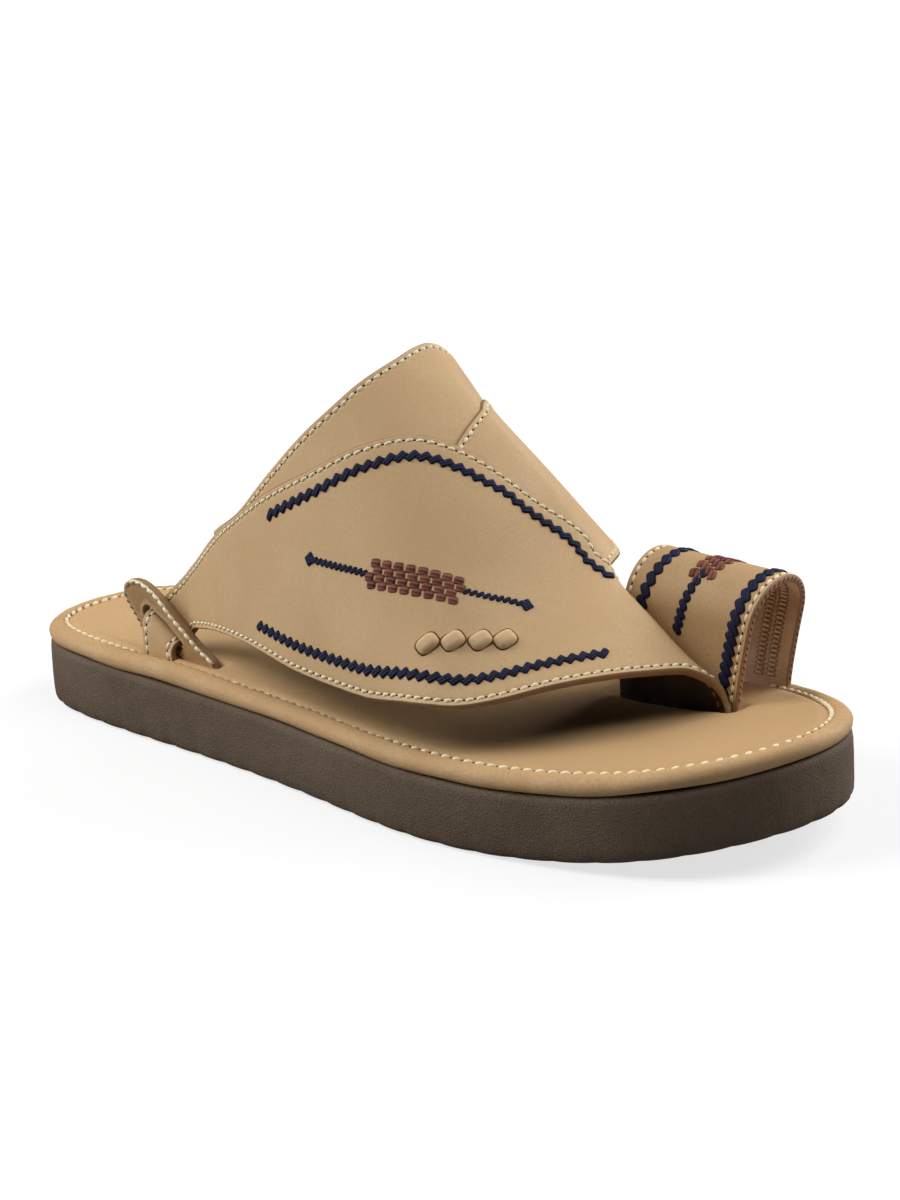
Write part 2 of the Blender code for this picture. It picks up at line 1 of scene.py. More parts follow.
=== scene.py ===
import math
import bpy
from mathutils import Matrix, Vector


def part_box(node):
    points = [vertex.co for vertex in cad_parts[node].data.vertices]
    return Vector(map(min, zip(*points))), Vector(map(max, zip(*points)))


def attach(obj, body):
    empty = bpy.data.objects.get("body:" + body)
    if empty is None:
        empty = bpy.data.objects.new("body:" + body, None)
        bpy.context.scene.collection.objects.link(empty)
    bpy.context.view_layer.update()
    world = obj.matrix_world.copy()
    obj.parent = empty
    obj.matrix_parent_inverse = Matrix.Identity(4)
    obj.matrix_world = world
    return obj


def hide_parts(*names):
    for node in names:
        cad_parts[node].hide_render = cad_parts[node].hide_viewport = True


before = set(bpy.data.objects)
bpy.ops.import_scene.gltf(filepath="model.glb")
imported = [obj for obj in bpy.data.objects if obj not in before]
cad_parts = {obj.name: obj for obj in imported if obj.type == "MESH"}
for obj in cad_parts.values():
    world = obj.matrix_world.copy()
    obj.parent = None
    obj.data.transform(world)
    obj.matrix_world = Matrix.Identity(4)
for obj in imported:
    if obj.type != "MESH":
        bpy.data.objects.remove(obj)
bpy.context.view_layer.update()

# Arabic sandal for the right foot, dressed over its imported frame. Shapes are worked out in
# millimetres in the sandal's own frame (x to the outer side, y from the heel to the toe, z up)
# and make_piece puts them into the shared frame in metres.

from types import SimpleNamespace

import bpy
import numpy as np
from mathutils import Matrix

SOLE_LOW, SOLE_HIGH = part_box("outsole")

# ---------------------------------------------------------------- sizes, in mm

SOLE_LENGTH = 283.3
SOLE_MIDDLE_X = -0.7
SOLE_THICKNESS, SOLE_THINNING = 19.2, 1.3
THINNING_FROM, THINNING_OVER = 60.0, 200.0
TOE_SPRING, SPRING_FROM, SPRING_OVER = 10.8, 200.0, 85.0
# The shared frame's origin, in the sandal's own frame
ORIGIN = np.array([SOLE_MIDDLE_X - 500 * (SOLE_LOW.x + SOLE_HIGH.x), -1000 * SOLE_LOW.y, 0.0])

OUTLINE = (
    # y, outer x, inner x
    (0, 1.3, 1.3), (6.9, 22.4, -21.7), (27, 32.3, -34.3), (58.4, 36.2, -37.3),
    (97.9, 39.1, -37.4), (141.6, 44.7, -43.2), (185.4, 51.1, -50.5), (224.9, 47.8, -51.9),
    (256.2, 38.5, -40.9), (276.3, 20.7, -21.7), (283.3, -0.1, -0.1),
)
AROUND = 600  # points round the sole
SOLE_RINGS = (
    # inset, z, share of the thickness, depth of the scallops, share of the unevenness:
    # from the tread's flat over its rounded edge to the top
    (3.2, 0, 0, 0.55, 0),
    (2.2, 0.05, 0, 0.55, 0),
    (1.2, 0.3, 0, 0.5, 0),
    (0.5, 0.9, 0, 0.42, 0.3),
    (0.15, 1.9, 0, 0.3, 0.6),
    (0, 4, 0, 0.12, 1),
    (0, 0, 0.45, 0, 1),
    (0.05, -6, 1, 0, 1),
    (0.15, -2.5, 1, 0, 0.6),
    (0.35, -0.9, 1, 0, 0.2),
    (1.1, -0.15, 1, 0, 0),
    (3, 0, 1, 0, 0),
)
BED_RINGS = (
    # inset, z over the block, and the shares of the puckers outwards and upwards, of the lower
    # line's waves, of the stitches' pull and of the swelling by the ear: from the underside over
    # the rolled rim and the seam to the pad
    (2.6, 0.3, 0, 0, 0, 0, 0),
    (1.1, 0.35, 0.1, 0.3, 1, 0, 0),
    (0.45, 0.8, 0.4, 0.5, 1, 0, 0),
    (0.1, 1.5, 0.8, 0.3, 0.6, 0, 0.1),
    (0, 2.4, 1, 0, 0.2, 0, 0.3),
    (0.25, 3.35, 1, 0, 0, 0, 0.6),
    (0.9, 4.3, 0.9, 0.4, 0, 0, 0.9),
    (1.9, 5, 0.7, 0.8, 0, 0, 1),
    (3.1, 5.35, 0.5, 1, 0, 0.08, 1),
    (4.1, 5.35, 0.3, 1, 0, 0.22, 1),
    (4.8, 5, 0.15, 1, 0, 0.38, 0.8),
    (5.25, 4.4, 0, 1, 0, 0.3, 0.4),
    (5.6, 3.85, 0, 1, 0, 0.15, 0),
    (5.95, 4.2, 0, 1, 0, 0.15, 0),
    (6.4, 4.7, 0, 1, 0, 0.05, 0),
    (7.3, 5.05, 0, 0.6, 0, 0, 0),
    (8.6, 5.3, 0, 0, 0, 0, 0),
)
BED_SEAM_RING = 12           # the seam's groove, where the rim's leather ends
BED_SEAM_INSET, BED_SEAM_Z = 5.5, 4.85
BED_SEAM_STARTS, BED_SEAM_ENDS = 100, 57  # y on the outer side, ahead of and behind the strap
PAD_HEIGHT = 5.5
HEEL_DISH, HEEL_DISH_Y, HEEL_DISH_REACH = 0.9, 45.0, 34.0
SLIT_DEPTH, SLIT_REACH = 1.5, 1.4
SLITS = (
    # x, first y, last y, half width: where the straps go down through the bed
    (-21.3, 198, 238.6, 2.6), (-46, 198, 238.6, 1.4), (27, 58.9, 87.9, 2.6),
    (-27.5, 58.9, 87.9, 2.6),
)
SCALLOP_PITCH, SOLE_UNEVEN = 12.0, 0.1
# The rim's puckers, its slow unevenness, its lower line's waves, and its swelling by the ear
PUCKER, RIM_UNEVEN, LOW_LINE_WAVE = 0.09, 0.16, 0.4
EAR_SWELLING, EAR_SWELLING_Y, EAR_SWELLING_WIDTH = 0.75, 78.0, 19.0
PAD_UNEVEN = 0.14
TREAD_DEPTH, TREAD_PITCH, TREAD_BOW, TREAD_MIDDLE_X = 0.9, 7.0, 3.0, -3.0
TREAD_HALF, TREAD_WIDENING = 36, 6  # half its width at the heel, and what the ball adds
TREAD_FIELDS = ((14, 96), (138, 266))  # first and last y
NO_EDGE = 9.0                # distance from a cut edge where a piece has none

# The instep surface that the upper's panels lie on, one arch across the foot for each row
BED_Z = 24.0
INSTEP = (
    # y, crest_x, rise, outer wall x, outer power, inner wall x, inner power
    (52, -4, 176, 16.6, 2.1, -17.6, 2.1), (66, -4, 166, 17.9, 2.1, -18.9, 2.1),
    (73, -4, 160.5, 18.8, 2.1, -19.8, 2.1), (82, -4, 153, 21.6, 2.1, -22.6, 2.1),
    (95, -4.5, 141, 26.6, 2.1, -27.2, 2), (110, -5, 126.5, 31.6, 2.1, -32.2, 1.9),
    (140, -6.2, 95.3, 39.8, 2, -39, 1.9), (160, -7.5, 77.2, 42.9, 1.9, -43, 1.45),
    (180, -12.5, 55.2, 46.4, 1.8, -46.5, 1.45), (195, -16.5, 36.2, 49.3, 1.65, -48, 1.55),
    (212, -21, 21, 49.5, 1.5, -48, 1.6),
)
TOE_FOLD = (
    # y, crest_x, rise, outer wall x, outer power, fold x, inner power
    (191, -18.5, 42.5, 48.8, 1.7, -20.5, 1.6), (197, -14.5, 35.5, 48.5, 1.6, -17.5, 1.8),
    (203, -12, 30, 48, 1.5, -16.5, 2), (213, -11.5, 22.5, 46, 1.4, -16.5, 2.2),
    (226, -10.5, 13, 43, 1.35, -16.5, 2.3), (240, -10, 5, 38, 1.3, -16.5, 2.2),
)
FOLD_JOINS = 185.0           # from here forwards the fold's rows follow, and not the instep's
FOLD_X, FOLD_RISE = -19.9, 0.8
FOOT_GAP = 0.5               # the fold's and the loop's feet end this far over the block
FOOT_MIDDLE = np.array([-6.0, 150.0, 10.0])  # the upper's outer faces look away from it
STRAP_ROWS, SLIT_ROWS = 64, 9
REAR_ROWS, REAR_COLUMNS = 240, 22  # columns between the close ones beside the two edges
MEDIAL_ROWS, MEDIAL_COLUMNS = 230, 30
LATERAL_ROWS, LATERAL_COLUMNS = (200, 90), 44
LATERAL_CLOSE_ROWS = 0.84    # the share from which the rows lie closer

# Layers of leather: each wall, and how far its middle lies over the instep surface
REAR_WALL, REAR_LEVEL = 2.8, 1.4
MEDIAL_WALL, MEDIAL_LEVEL = 1.8, 2.8
LATERAL_WALL, LATERAL_LEVEL = 2.4, 3.4

# Panel edges: share of the edge's run, distance from the heel, angle around the arch
LATERAL_TOP = (
    (0, 66, -84), (0.1, 81.2, -79.6), (0.2, 97.3, -73.4), (0.3, 113.5, -66), (0.42, 135, -51),
    (0.52, 148.6, -36.2), (0.62, 160.8, -21.2), (0.72, 173, -11.4), (0.81, 186, -6),
    (0.87, 194, -2.5), (0.92, 198.5, 16), (1, 199.5, 90),
)
LATERAL_LOW = (
    (0, 78, -87.2), (0.12, 98, -85.4), (0.25, 122, -84), (0.38, 147, -82.6), (0.5, 169, -80),
    (0.6, 186, -74), (0.68, 197.5, -67.5), (0.75, 206.5, -58), (0.82, 214.5, -45),
    (0.88, 222, -29), (0.93, 228.5, -10), (0.97, 234, 25), (1, 237.5, 90),
)
MEDIAL_REAR = (
    (0, 66, 84), (0.14, 80, 79), (0.28, 96, 73.5), (0.42, 114, 64), (0.57, 137, 48),
    (0.72, 151.5, 27), (0.86, 161, 4), (1, 166.5, -24),
)
MEDIAL_FRONT = (
    (0, 78, 87.2), (0.14, 98, 85.4), (0.28, 122, 82.6), (0.42, 147, 76), (0.57, 167, 62),
    (0.7, 180, 46), (0.8, 187.5, 35), (0.87, 192.5, 26), (0.94, 196.5, 10), (1, 199, -10),
)
REAR_BACK = (
    (0, 91.5, -74.6), (0.12, 106, -69), (0.25, 119.6, -59.2), (0.36, 131.2, -45.2),
    (0.44, 138.8, -30), (0.5, 143.4, -9), (0.56, 142.8, 14), (0.66, 134.5, 36),
    (0.77, 121, 54), (0.88, 107, 66.5), (1, 91.5, 74.6),
)
REAR_FRONT = (
    (0, 99, -80), (0.15, 124, -71), (0.3, 148, -54), (0.42, 164, -36), (0.52, 175, -14),
    (0.6, 175, 4), (0.72, 164, 30), (0.85, 136, 60), (1, 100, 80),
)
EAR_STRAP = (
    # x, rear edge y, z, front edge y, z: from its foot outside the ear, through the slot
    (29.5, 60, 19.7, 73, 19.7), (29.5, 60, 22.4, 73, 21.4), (29.5, 60, 26, 73, 23),
    (29.5, 60, 29.4, 72.8, 24.4), (29.4, 59.8, 32.2, 72.4, 25.4), (29, 59.6, 34.4, 72, 26.6),
    (27.9, 59.5, 35.9, 71.8, 27.6), (26, 59.5, 36.2, 71.8, 27.8),
    (24.1, 59.5, 36.2, 71.8, 27.8), (22.9, 60, 37.2, 72.1, 28.6), (22.3, 61.6, 39.3, 73.2, 30),
)

# Toe loop: the middle of its wall
LOOP_WALL = 2.2
LOOP_OUTER_X, LOOP_INNER_REAR_X, LOOP_INNER_FRONT_X = -22.8, -46.9, -45.2
LOOP_TOP_Z, LOOP_TOP_FALL = 60.9, 1.6
LOOP_REAR_Y, LOOP_REAR_LEAN = 198.2, 3.4
LOOP_FRONT_Y, LOOP_FRONT_LEAN = 238.4, 8.6
LOOP_LEAN_POWER = 1.2
LOOP_ROWS, LOOP_MIDDLE_COLUMNS = 220, 34
LOOP_SHOWN = slice(14, -14)  # its rows over the footbed
LOOP_INSIDE = np.array([-34.5, 220.0, 35.0])  # its outer face looks away from here
WRINKLE_HEIGHT = 0.13

# Ears: the outer one's plate and slot; the inner one is its mirror image
EAR_X, EAR_WALL, EAR_MIRROR = 26.0, 3.2, -0.5
EAR_LIP, EAR_ROWS, EAR_COLUMNS = 0.9, 240, 16
EAR_INSIDE = np.array([0.0, 65.0, 32.0])  # both ears' outer faces look away from here
EAR_EDGE = (
    # share, y, z
    (0, 60.2, 19.7), (0.07, 59.2, 24), (0.16, 55.2, 32), (0.25, 49.6, 40), (0.31, 50, 43.4),
    (0.38, 54.4, 45.2), (0.48, 61.8, 43), (0.6, 69, 37.8), (0.74, 77, 31.2),
    (0.87, 83.6, 26.4), (0.95, 87, 23.6), (1, 87.6, 19.7),
)
SLOT_MIDDLE, SLOT_LENGTH, SLOT_HEIGHT, SLOT_SLOPE = (65.8, 31.9), 17.8, 4.0, math.radians(-34.4)

# Seams and ornament. A UNIT is a stitch's half length, half width and height.
CUT_LIP = 0.6                # how far a cut edge is rounded
EDGE_TURNS = 5               # points round it
EDGE_COLUMNS = (0.0, 0.3, 0.6, 0.9, 1.2, 1.5, 1.8, 2.1, 2.5, 3.1, 4.2)  # from its rounding
SEAM_INSET = 1.9             # stitch lines run this far inside a cut edge
SEAM_GROOVE = 0.22
SEAM_PITCH, BED_PITCH = 2.9, 3.7
STITCH_UNIT, HOLE_UNIT = (1.18, 0.56, 0.58), (0.5, 0.42, 0.09)
BED_STITCH_UNIT, BED_HOLE_UNIT = (1.45, 0.6, 0.62), (0.5, 0.34, 0.08)
FOLD_INSET, FOLD_UNIT = 2.4, (1.1, 0.36, 0.3)
LOOP_EDGE_PITCH, LOOP_EDGE_UNIT, LOOP_EDGE_TILT = 1.9, (0.85, 0.26, 0.2), 0.7
LINING_PITCH, LINING_INSETS = 1.45, (6.0, 10.2)
LINING_STITCH_UNIT, LINING_DENT_UNIT = (1.4, 0.46, 0.5), (1.85, 0.68, 0.12)
LINING_TILT, LINING_LIFT = 0.1, 0.14
UPPER_BAND_INSET, LOWER_BAND_INSET = 6.6, 7.6
UPPER_BAND_RUN, LOWER_BAND_RUN = (0.346, 0.881), (0.26, 0.876)
BAND_PITCH, BAND_UNIT, BAND_TILT = 3.1, (1.95, 1.02, 0.6), math.radians(43)
BAND_FILL = (0.95, 0.6, 0.3)  # the shorter stitches between two of the band's units
BAND_TAIL_FROM = 176.0
BAND_TAIL = (
    # share, y, angle: the upper band's end, which hooks round before the toe
    (0, 177.9, -14.8), (0.36, 187, -12.5), (0.62, 193.8, -9.6), (0.84, 198.9, -4.2),
    (1, 201.8, 1),
)
LOOP_BAND_PITCH, LOOP_BAND_UNIT, LOOP_TILT = 3.1, (2.25, 1.5, 0.6), math.radians(36)
LINE_PITCH, LINE_UNIT, LINE_TILT = 1.75, (1.35, 0.62, 0.42), math.radians(42)
LOOP_LINE_PITCH, LOOP_LINE_UNIT = 2.3, (1.8, 1.15, 0.5)
LOOP_CHECKER_UNIT = (1.55, 1.35, 0.48)
LOOP_LINE, LOOP_LINE_INSET = (25.3, 41.5), (19.0, 22.5)
LOOP_FRONT_BAND, LOOP_REAR_BAND, LOOP_REAR_BOW = 5.2, 6.0, 2.6  # insets, and the rear one's bow
REAR_LINE = (
    (0, 142.1, -63), (0.5, 152.4, -60), (1, 162.2, -56.5),
)
FRONT_LINE = (
    # share, y, angle: from the checker to the motif's front diamond
    (0, 184.6, -42.6), (0.5, 190.1, -38.3), (1, 196.4, -31.6),
)
KNOT_STEPS = ((0, 0), (0, 0.95), (0, -0.95), (0.95, 0), (-0.8, 0))
KNOT_UNIT = (1.1, 1.1, 0.5)
CHECKER_PLACE, CHECKER_AHEAD = (174.3, -49.6), (183.4, -43.6)
CHECKER_ROWS, CHECKER_COLUMNS, LOOP_COLUMNS = 4, 8, 5
CHECKER_STEP, CHECKER_SKEW, CHECKER_UNIT = (3.42, 2.0), 0.65, (1.38, 1.22, 0.5)
CHECKER_TILT, LOOP_CHECKER_TILT = 0.1, math.radians(20)
LOZENGE_PLACES = ((184.5, -58.3), (189.0, -53.5), (193.7, -48.3), (197.8, -42.9))
LOZENGE_UNIT, LOZENGE_TURN, LOZENGE_LIFT = (3.15, 2.4, 2.1), math.radians(33), -0.35
# Painted shade: a dark ring under each lozenge stands for the shade in the crease round it.
CREASE_SHADE_WIDTH, CREASE_SHADE_HEIGHT, CREASE_SHADE_LIFT = 0.34, 0.14, 0.06

# ---------------------------------------------------------------- curves and surfaces


def unit(vectors):
    """Vectors at length one."""
    return vectors / np.maximum(np.linalg.norm(vectors, axis=-1, keepdims=True), 1e-12)


def flattened(vectors, normals):
    """Unit vectors along the surface: the vectors without their parts along its normals."""
    return unit(vectors - normals * (normals * vectors).sum(-1, keepdims=True))


def smooth_step(x, start, end):
    """0 before start, 1 after end, and the cubic 3t^2 - 2t^3 between."""
    t = np.clip((x - start) / (end - start), 0, 1)
    return t * t * (3 - 2 * t)


def bell(x, middle, width):
    """Gaussian bell of height one."""
    return np.exp(-((x - middle) / width) ** 2)


def ripple(x, y, scale, seed):
    """Gentle unevenness between about -1 and 1: three crossed sine waves of different lengths."""
    a = np.sin(x / scale + 1.7 * seed) * np.cos(y / (1.3 * scale) - 0.9 * seed)
    b = np.sin((x + y) / (2.1 * scale) + 2.3 * seed)
    return 0.45 * a + 0.35 * b + 0.2 * np.sin((x - 1.6 * y) / (0.7 * scale) + seed)


def distances(points):
    """Distance run along a line of points, from 0 at the first."""
    return np.concatenate([[0], np.cumsum(np.linalg.norm(np.diff(points, axis=0), axis=1))])


def interpolated(at, run, table, **wrap):
    """Rows of a table at places at, straight between its own rows at run."""
    return np.stack([np.interp(at, run, column, **wrap) for column in table.T], -1)


def pieces(at, x):
    """Places at kept within the run of the numbers x, the number of the piece between two of them
    that each is on, and that piece's length."""
    at = np.clip(np.asarray(at, float), x[0], x[-1])
    piece = np.clip(np.searchsorted(x, at, side="right") - 1, 0, len(x) - 2)
    return at, piece, (x[piece + 1] - x[piece])[..., None]


def pchip(at, rows):
    """Smooth curve through table rows with no overshoot: cubic Hermite pieces whose slope at each
    row is the harmonic mean of the slopes on its two sides, or zero at a turn."""
    rows = np.asarray(rows, float)
    x, y = rows[:, 0], rows[:, 1:]
    step = np.diff(x)[:, None]
    slope = np.diff(y, axis=0) / step
    before, after = slope[:-1], slope[1:]
    wide, narrow = 2 * step[1:] + step[:-1], step[1:] + 2 * step[:-1]
    same_way = before * after > 0
    safe_before, safe_after = np.where(same_way, before, 1), np.where(same_way, after, 1)
    inner = np.where(same_way, (wide + narrow) / (wide / safe_before + narrow / safe_after), 0)
    tangent = np.vstack([slope[:1], inner, slope[-1:]])
    at, k, h = pieces(at, x)
    s = (at - x[k])[..., None] / h
    return ((1 + 2 * s) * (1 - s) ** 2 * y[k] + s * (1 - s) ** 2 * h * tangent[k]
            + s * s * (3 - 2 * s) * y[k + 1] + s * s * (s - 1) * h * tangent[k + 1])


def curve(at, rows):
    """Natural cubic spline through table rows, whose first column is the parameter."""
    rows = np.asarray(rows, float)
    x, y = rows[:, 0], rows[:, 1:]
    count, step = len(x), np.diff(x)
    matrix, right = np.eye(count), np.zeros_like(y)
    for k in range(1, count - 1):
        matrix[k, k - 1:k + 2] = step[k - 1], 2 * (step[k - 1] + step[k]), step[k]
        right[k] = 6 * ((y[k + 1] - y[k]) / step[k] - (y[k] - y[k - 1]) / step[k - 1])
    bend = np.linalg.solve(matrix, right)
    at, k, h = pieces(at, x)
    a, b = (x[k + 1] - at)[..., None] / h, (at - x[k])[..., None] / h
    return (a * y[k] + b * y[k + 1]
            + ((a ** 3 - a) * bend[k] + (b ** 3 - b) * bend[k + 1]) * h * h / 6)


def lift(y):
    """Toe spring: a parabola that starts at the ball of the foot."""
    return TOE_SPRING * np.maximum((y - SPRING_FROM) / SPRING_OVER, 0) ** 2


def block_top(y):
    """Height of the sole block's top: its thickness, which thins evenly to the toe, plus the
    toe spring."""
    thinning = SOLE_THINNING * np.clip((y - THINNING_FROM) / THINNING_OVER, 0, 1)
    return SOLE_THICKNESS - thinning + lift(y)


def arch(rows, y, angle):
    """Superellipse arch at y: from the crest the x distance is the wall's times sin^(2/power),
    and the rise is the crest's times cos^(2/power)."""
    crest, rise, outer, outer_power, inner, inner_power = np.moveaxis(pchip(y, rows), -1, 0)
    side, up = np.sin(np.radians(angle)), np.cos(np.radians(angle))
    power = np.where(side < 0, outer_power, inner_power)
    width = np.where(side < 0, outer - crest, inner - crest)
    x = crest + width * np.abs(side) ** (2 / power)
    return np.stack([x, y, BED_Z + rise * np.abs(up) ** (2 / power)], -1)


def instep(y, angle):
    """The instep surface under the rear panel and the medial leaf."""
    return arch(INSTEP, y, angle)


FOLD_ROWS = [row for row in INSTEP if row[0] < FOLD_JOINS] + list(TOE_FOLD)


def folded_instep(y, angle):
    """The surface under the lateral leaf: the arch, whose inner side stands on the footbed."""
    place = arch(FOLD_ROWS, y, angle)
    bed = block_top(y) + PAD_HEIGHT
    crest = pchip(y, FOLD_ROWS)[..., 1] + BED_Z
    share = (place[..., 2] - BED_Z) / (crest - BED_Z)
    place[..., 2] = np.where(angle > 0, bed + (crest - bed) * share, place[..., 2])
    return place


def off(surface, place, height):
    """Points height mm out from a surface along its normal, and the normals, which come from
    central differences. A place is a distance y from the heel and an angle round the arch."""
    small, steepest = 0.1, 89.7
    y, angle = place[..., 0], np.clip(place[..., 1], -steepest, steepest)
    by_y = surface(y + small, angle) - surface(y - small, angle)
    by_angle = surface(y, angle + small) - surface(y, angle - small)
    normal = unit(np.cross(by_y, by_angle))
    return surface(y, place[..., 1]) + np.asarray(height)[..., None] * normal, normal


def moved(surface, place, height, step):
    """Place reached from place by a short tangent step in mm: the step's shares along the
    surface's two parameters solve a 2 by 2 least squares problem."""
    small = 0.2
    by_y, by_a = [(off(surface, place + shift, height)[0] - off(surface, place - shift, height)[0])
                  / (2 * small) for shift in np.eye(2) * small]
    yy, ya, aa = (by_y * by_y).sum(-1), (by_y * by_a).sum(-1), (by_a * by_a).sum(-1)
    sy, sa = (by_y * step).sum(-1), (by_a * step).sum(-1)
    below = yy * aa - ya * ya
    return place + np.stack([(sy * aa - sa * ya) / below, (sa * yy - sy * ya) / below], -1)


def evenly(points, normals, pitch, ends=0.5):
    """Points every pitch mm along a line of points, with its normals and tangents. ends is the
    share of a pitch left free before the first and after the last."""
    run = distances(points)
    count = max(int((run[-1] - 2 * ends * pitch) / pitch) + 1, 2)
    at = np.linspace(ends * pitch, run[-1] - ends * pitch, count)
    tangent = np.gradient(points, axis=0) / np.gradient(run)[:, None]
    return (interpolated(at, run, points), unit(interpolated(at, run, normals)),
            unit(interpolated(at, run, tangent)))


# ---------------------------------------------------------------- meshes


def quads(index):
    """Quads between the neighbours of an array of point numbers."""
    corners = [index[:-1, :-1], index[1:, :-1], index[1:, 1:], index[:-1, 1:]]
    return np.stack(corners, -1).reshape(-1, 4)


def ring_quads(rings, points):
    """Quads between closed rings of points that are numbered ring by ring."""
    index = np.arange(rings * points).reshape(rings, points)
    return quads(np.hstack([index, index[:, :1]]))


def fan(ring, tip):
    """Triangles from the points of a closed ring to one tip."""
    return np.stack([ring, np.roll(ring, -1), np.full(len(ring), tip)], -1)


def volume(points, faces):
    """Signed volume of a closed mesh of quads and triangles, as a fan of tetrahedra, times six."""
    total = 0.0
    for group in faces:
        corner = points[group]
        for k in range(1, group.shape[1] - 1):
            far_side = np.cross(corner[:, k], corner[:, k + 1])
            total += np.einsum("ij,ij->", corner[:, 0], far_side)
    return total


def make_piece(name, points, faces, materials, face_material=None, uv=None, values=None):
    """Object at the origin from points in mm and groups of equal faces, turned outwards."""
    faces = [group for group in faces if len(group)]
    if volume(points, faces) < 0:
        faces = [group[:, ::-1] for group in faces]
    sizes = np.concatenate([np.full(len(group), group.shape[1]) for group in faces])
    corners = np.concatenate([group.ravel() for group in faces])
    mesh = bpy.data.meshes.new(name)
    mesh.vertices.add(len(points))
    mesh.vertices.foreach_set("co", ((points - ORIGIN) / 1000).astype(np.float32).ravel())
    mesh.loops.add(len(corners))
    mesh.loops.foreach_set("vertex_index", corners.astype(np.int32))
    mesh.polygons.add(len(sizes))
    mesh.polygons.foreach_set("loop_start", (np.cumsum(sizes) - sizes).astype(np.int32))
    if face_material is not None:
        mesh.polygons.foreach_set("material_index", np.asarray(face_material, np.int32))
    mesh.update(calc_edges=True)
    if uv is not None:
        layer = mesh.uv_layers.new(name="surface")
        layer.data.foreach_set("uv", uv[corners].astype(np.float32).ravel())
    for key, value in (values or {}).items():
        layer = mesh.attributes.new(key, "FLOAT", "POINT")
        layer.data.foreach_set("value", value.astype(np.float32))
    for material in materials:
        mesh.materials.append(material)
    mesh.shade_smooth()
    mesh.validate()
    piece = bpy.data.objects.new(name, mesh)
    bpy.context.scene.collection.objects.link(piece)
    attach(piece, "root")
    return piece


def bead():
    """Stitch shape: six-sided rings along x whose radius is (1 - |x|^3)^(1/2), ends drawn down,
    closed by a point at each end."""
    at = np.array([-0.93, -0.55, 0.0, 0.55, 0.93])[:, None]
    radius = np.sqrt(1 - np.abs(at) ** 3)
    sag = -0.55 * np.abs(at) ** 2.5
    turn = np.radians(np.arange(6) * 60.0)
    aside, up = radius * np.cos(turn), sag + radius * np.sin(turn)
    rings = np.stack(np.broadcast_arrays(at, aside, up), -1).reshape(-1, 3)
    points = np.vstack([rings, [[-1.0, 0, -0.6], [1.0, 0, -0.6]]])
    fans = [fan(np.arange(6), 30), fan(np.arange(24, 30), 31)[:, ::-1]]
    return points, [ring_quads(5, 6), np.concatenate(fans)]


def puff(power, rings=3, spokes=12, turn=0.0):
    """Puffed pad: its outline is |x|^power + |y|^power = 1, a diamond near 1, a disc at 2 and a
    square past 4, and it rises by (1 - r^3)^(1/2) with r the share of the way out. Closed
    underneath by a fan."""
    angle = np.linspace(0, 2 * math.pi, spokes, endpoint=False) + turn
    reach = (np.abs(np.cos(angle)) ** power + np.abs(np.sin(angle)) ** power) ** (-1 / power)
    share = np.sin(np.linspace(0, math.pi / 2, rings + 1))[1:, None]
    x, y = share * reach * np.cos(angle), share * reach * np.sin(angle)
    top = np.stack(np.broadcast_arrays(x, y, np.sqrt(1 - share ** 3)), -1).reshape(-1, 3)
    points = np.vstack([top, [[0, 0, 1.0], [0, 0, -1.0]]])
    inner, outer = np.arange(spokes), np.arange((rings - 1) * spokes, rings * spokes)
    fans = [fan(inner, len(top)), fan(outer, len(top) + 1)[:, ::-1]]
    return points, [ring_quads(rings, spokes), np.concatenate(fans)]


BEAD = bead()
HOLE_DISC = puff(2.0, rings=1, spokes=8)
BAND_BLOCK, LINE_BLOCK, SMALL_DIAMOND = puff(5.0, spokes=16), puff(4.0, spokes=16), puff(1.3)
LOOP_LINE_BLOCK = puff(3.0, spokes=16)
CHECKER_BLOCK = puff(6.0, spokes=16, turn=math.pi / 16)
LOZENGE, LOZENGE_FOOT = puff(3.0, rings=14, spokes=72), puff(3.0, spokes=40)

# ---------------------------------------------------------------- sheets of leather


def edge_distances(width, inner_columns):
    """Distances of a sheet's columns from its first edge: close together near both edges, where
    the seams run, and even between."""
    steps = CUT_LIP + np.array(EDGE_COLUMNS)
    share = np.linspace(0, 1, inner_columns)[1:-1]
    width = width[:, None]
    middle = steps[-1] + (width - 2 * steps[-1]) * share
    return np.hstack([np.broadcast_to(steps, (len(width), steps.size)), middle,
                      width - steps[::-1]])


def panel_grid(surface, near_edge, far_edge, level, share, inner_columns):
    """Middle of a panel's wall, with each point's share of the way from edge to edge. A point's
    place is blended from its row's two edge places, then set off the surface by level."""
    near, far = pchip(share, near_edge)[:, None], pchip(share, far_edge)[:, None]
    trial = np.linspace(0, 1, 50)[None, :, None]
    line = off(surface, near * (1 - trial) + far * trial, level)[0]
    width = np.linalg.norm(np.diff(line, axis=1), axis=2).sum(1)
    across = (edge_distances(width, inner_columns) / width[:, None])[..., None]
    return off(surface, near * (1 - across) + far * across, level)[0], across[..., 0]


def on_side(x, side):
    """x of an ear's part: as given on the outer side (1), mirrored on the inner side (-1)."""
    return x if side > 0 else EAR_MIRROR - x


def strap_grid(side, grid, across):
    """Ear strap up to a leaf's first row: a cubic spline, by chord length, through the strap's
    rows and on into three of the leaf's first rows."""
    x, rear_y, rear_z, front_y, front_z = np.array(EAR_STRAP).T
    x = on_side(x, side)
    rear = np.stack([x, rear_y, rear_z], -1)[:, None]
    front = np.stack([x, front_y, front_z], -1)[:, None]
    share = across[0][None, :, None]
    knots = np.concatenate([rear * (1 - share) + front * share, grid[[0, 6, 12]]])
    chord = np.linalg.norm(np.diff(knots, axis=0), axis=2).mean(1)
    chord = np.concatenate([[0], np.cumsum(chord)])
    at = np.linspace(0, chord[len(x)], STRAP_ROWS)[:-1]
    rows = np.column_stack([chord, knots.reshape(len(knots), -1)])
    return curve(at, rows).reshape(len(at), -1, 3)


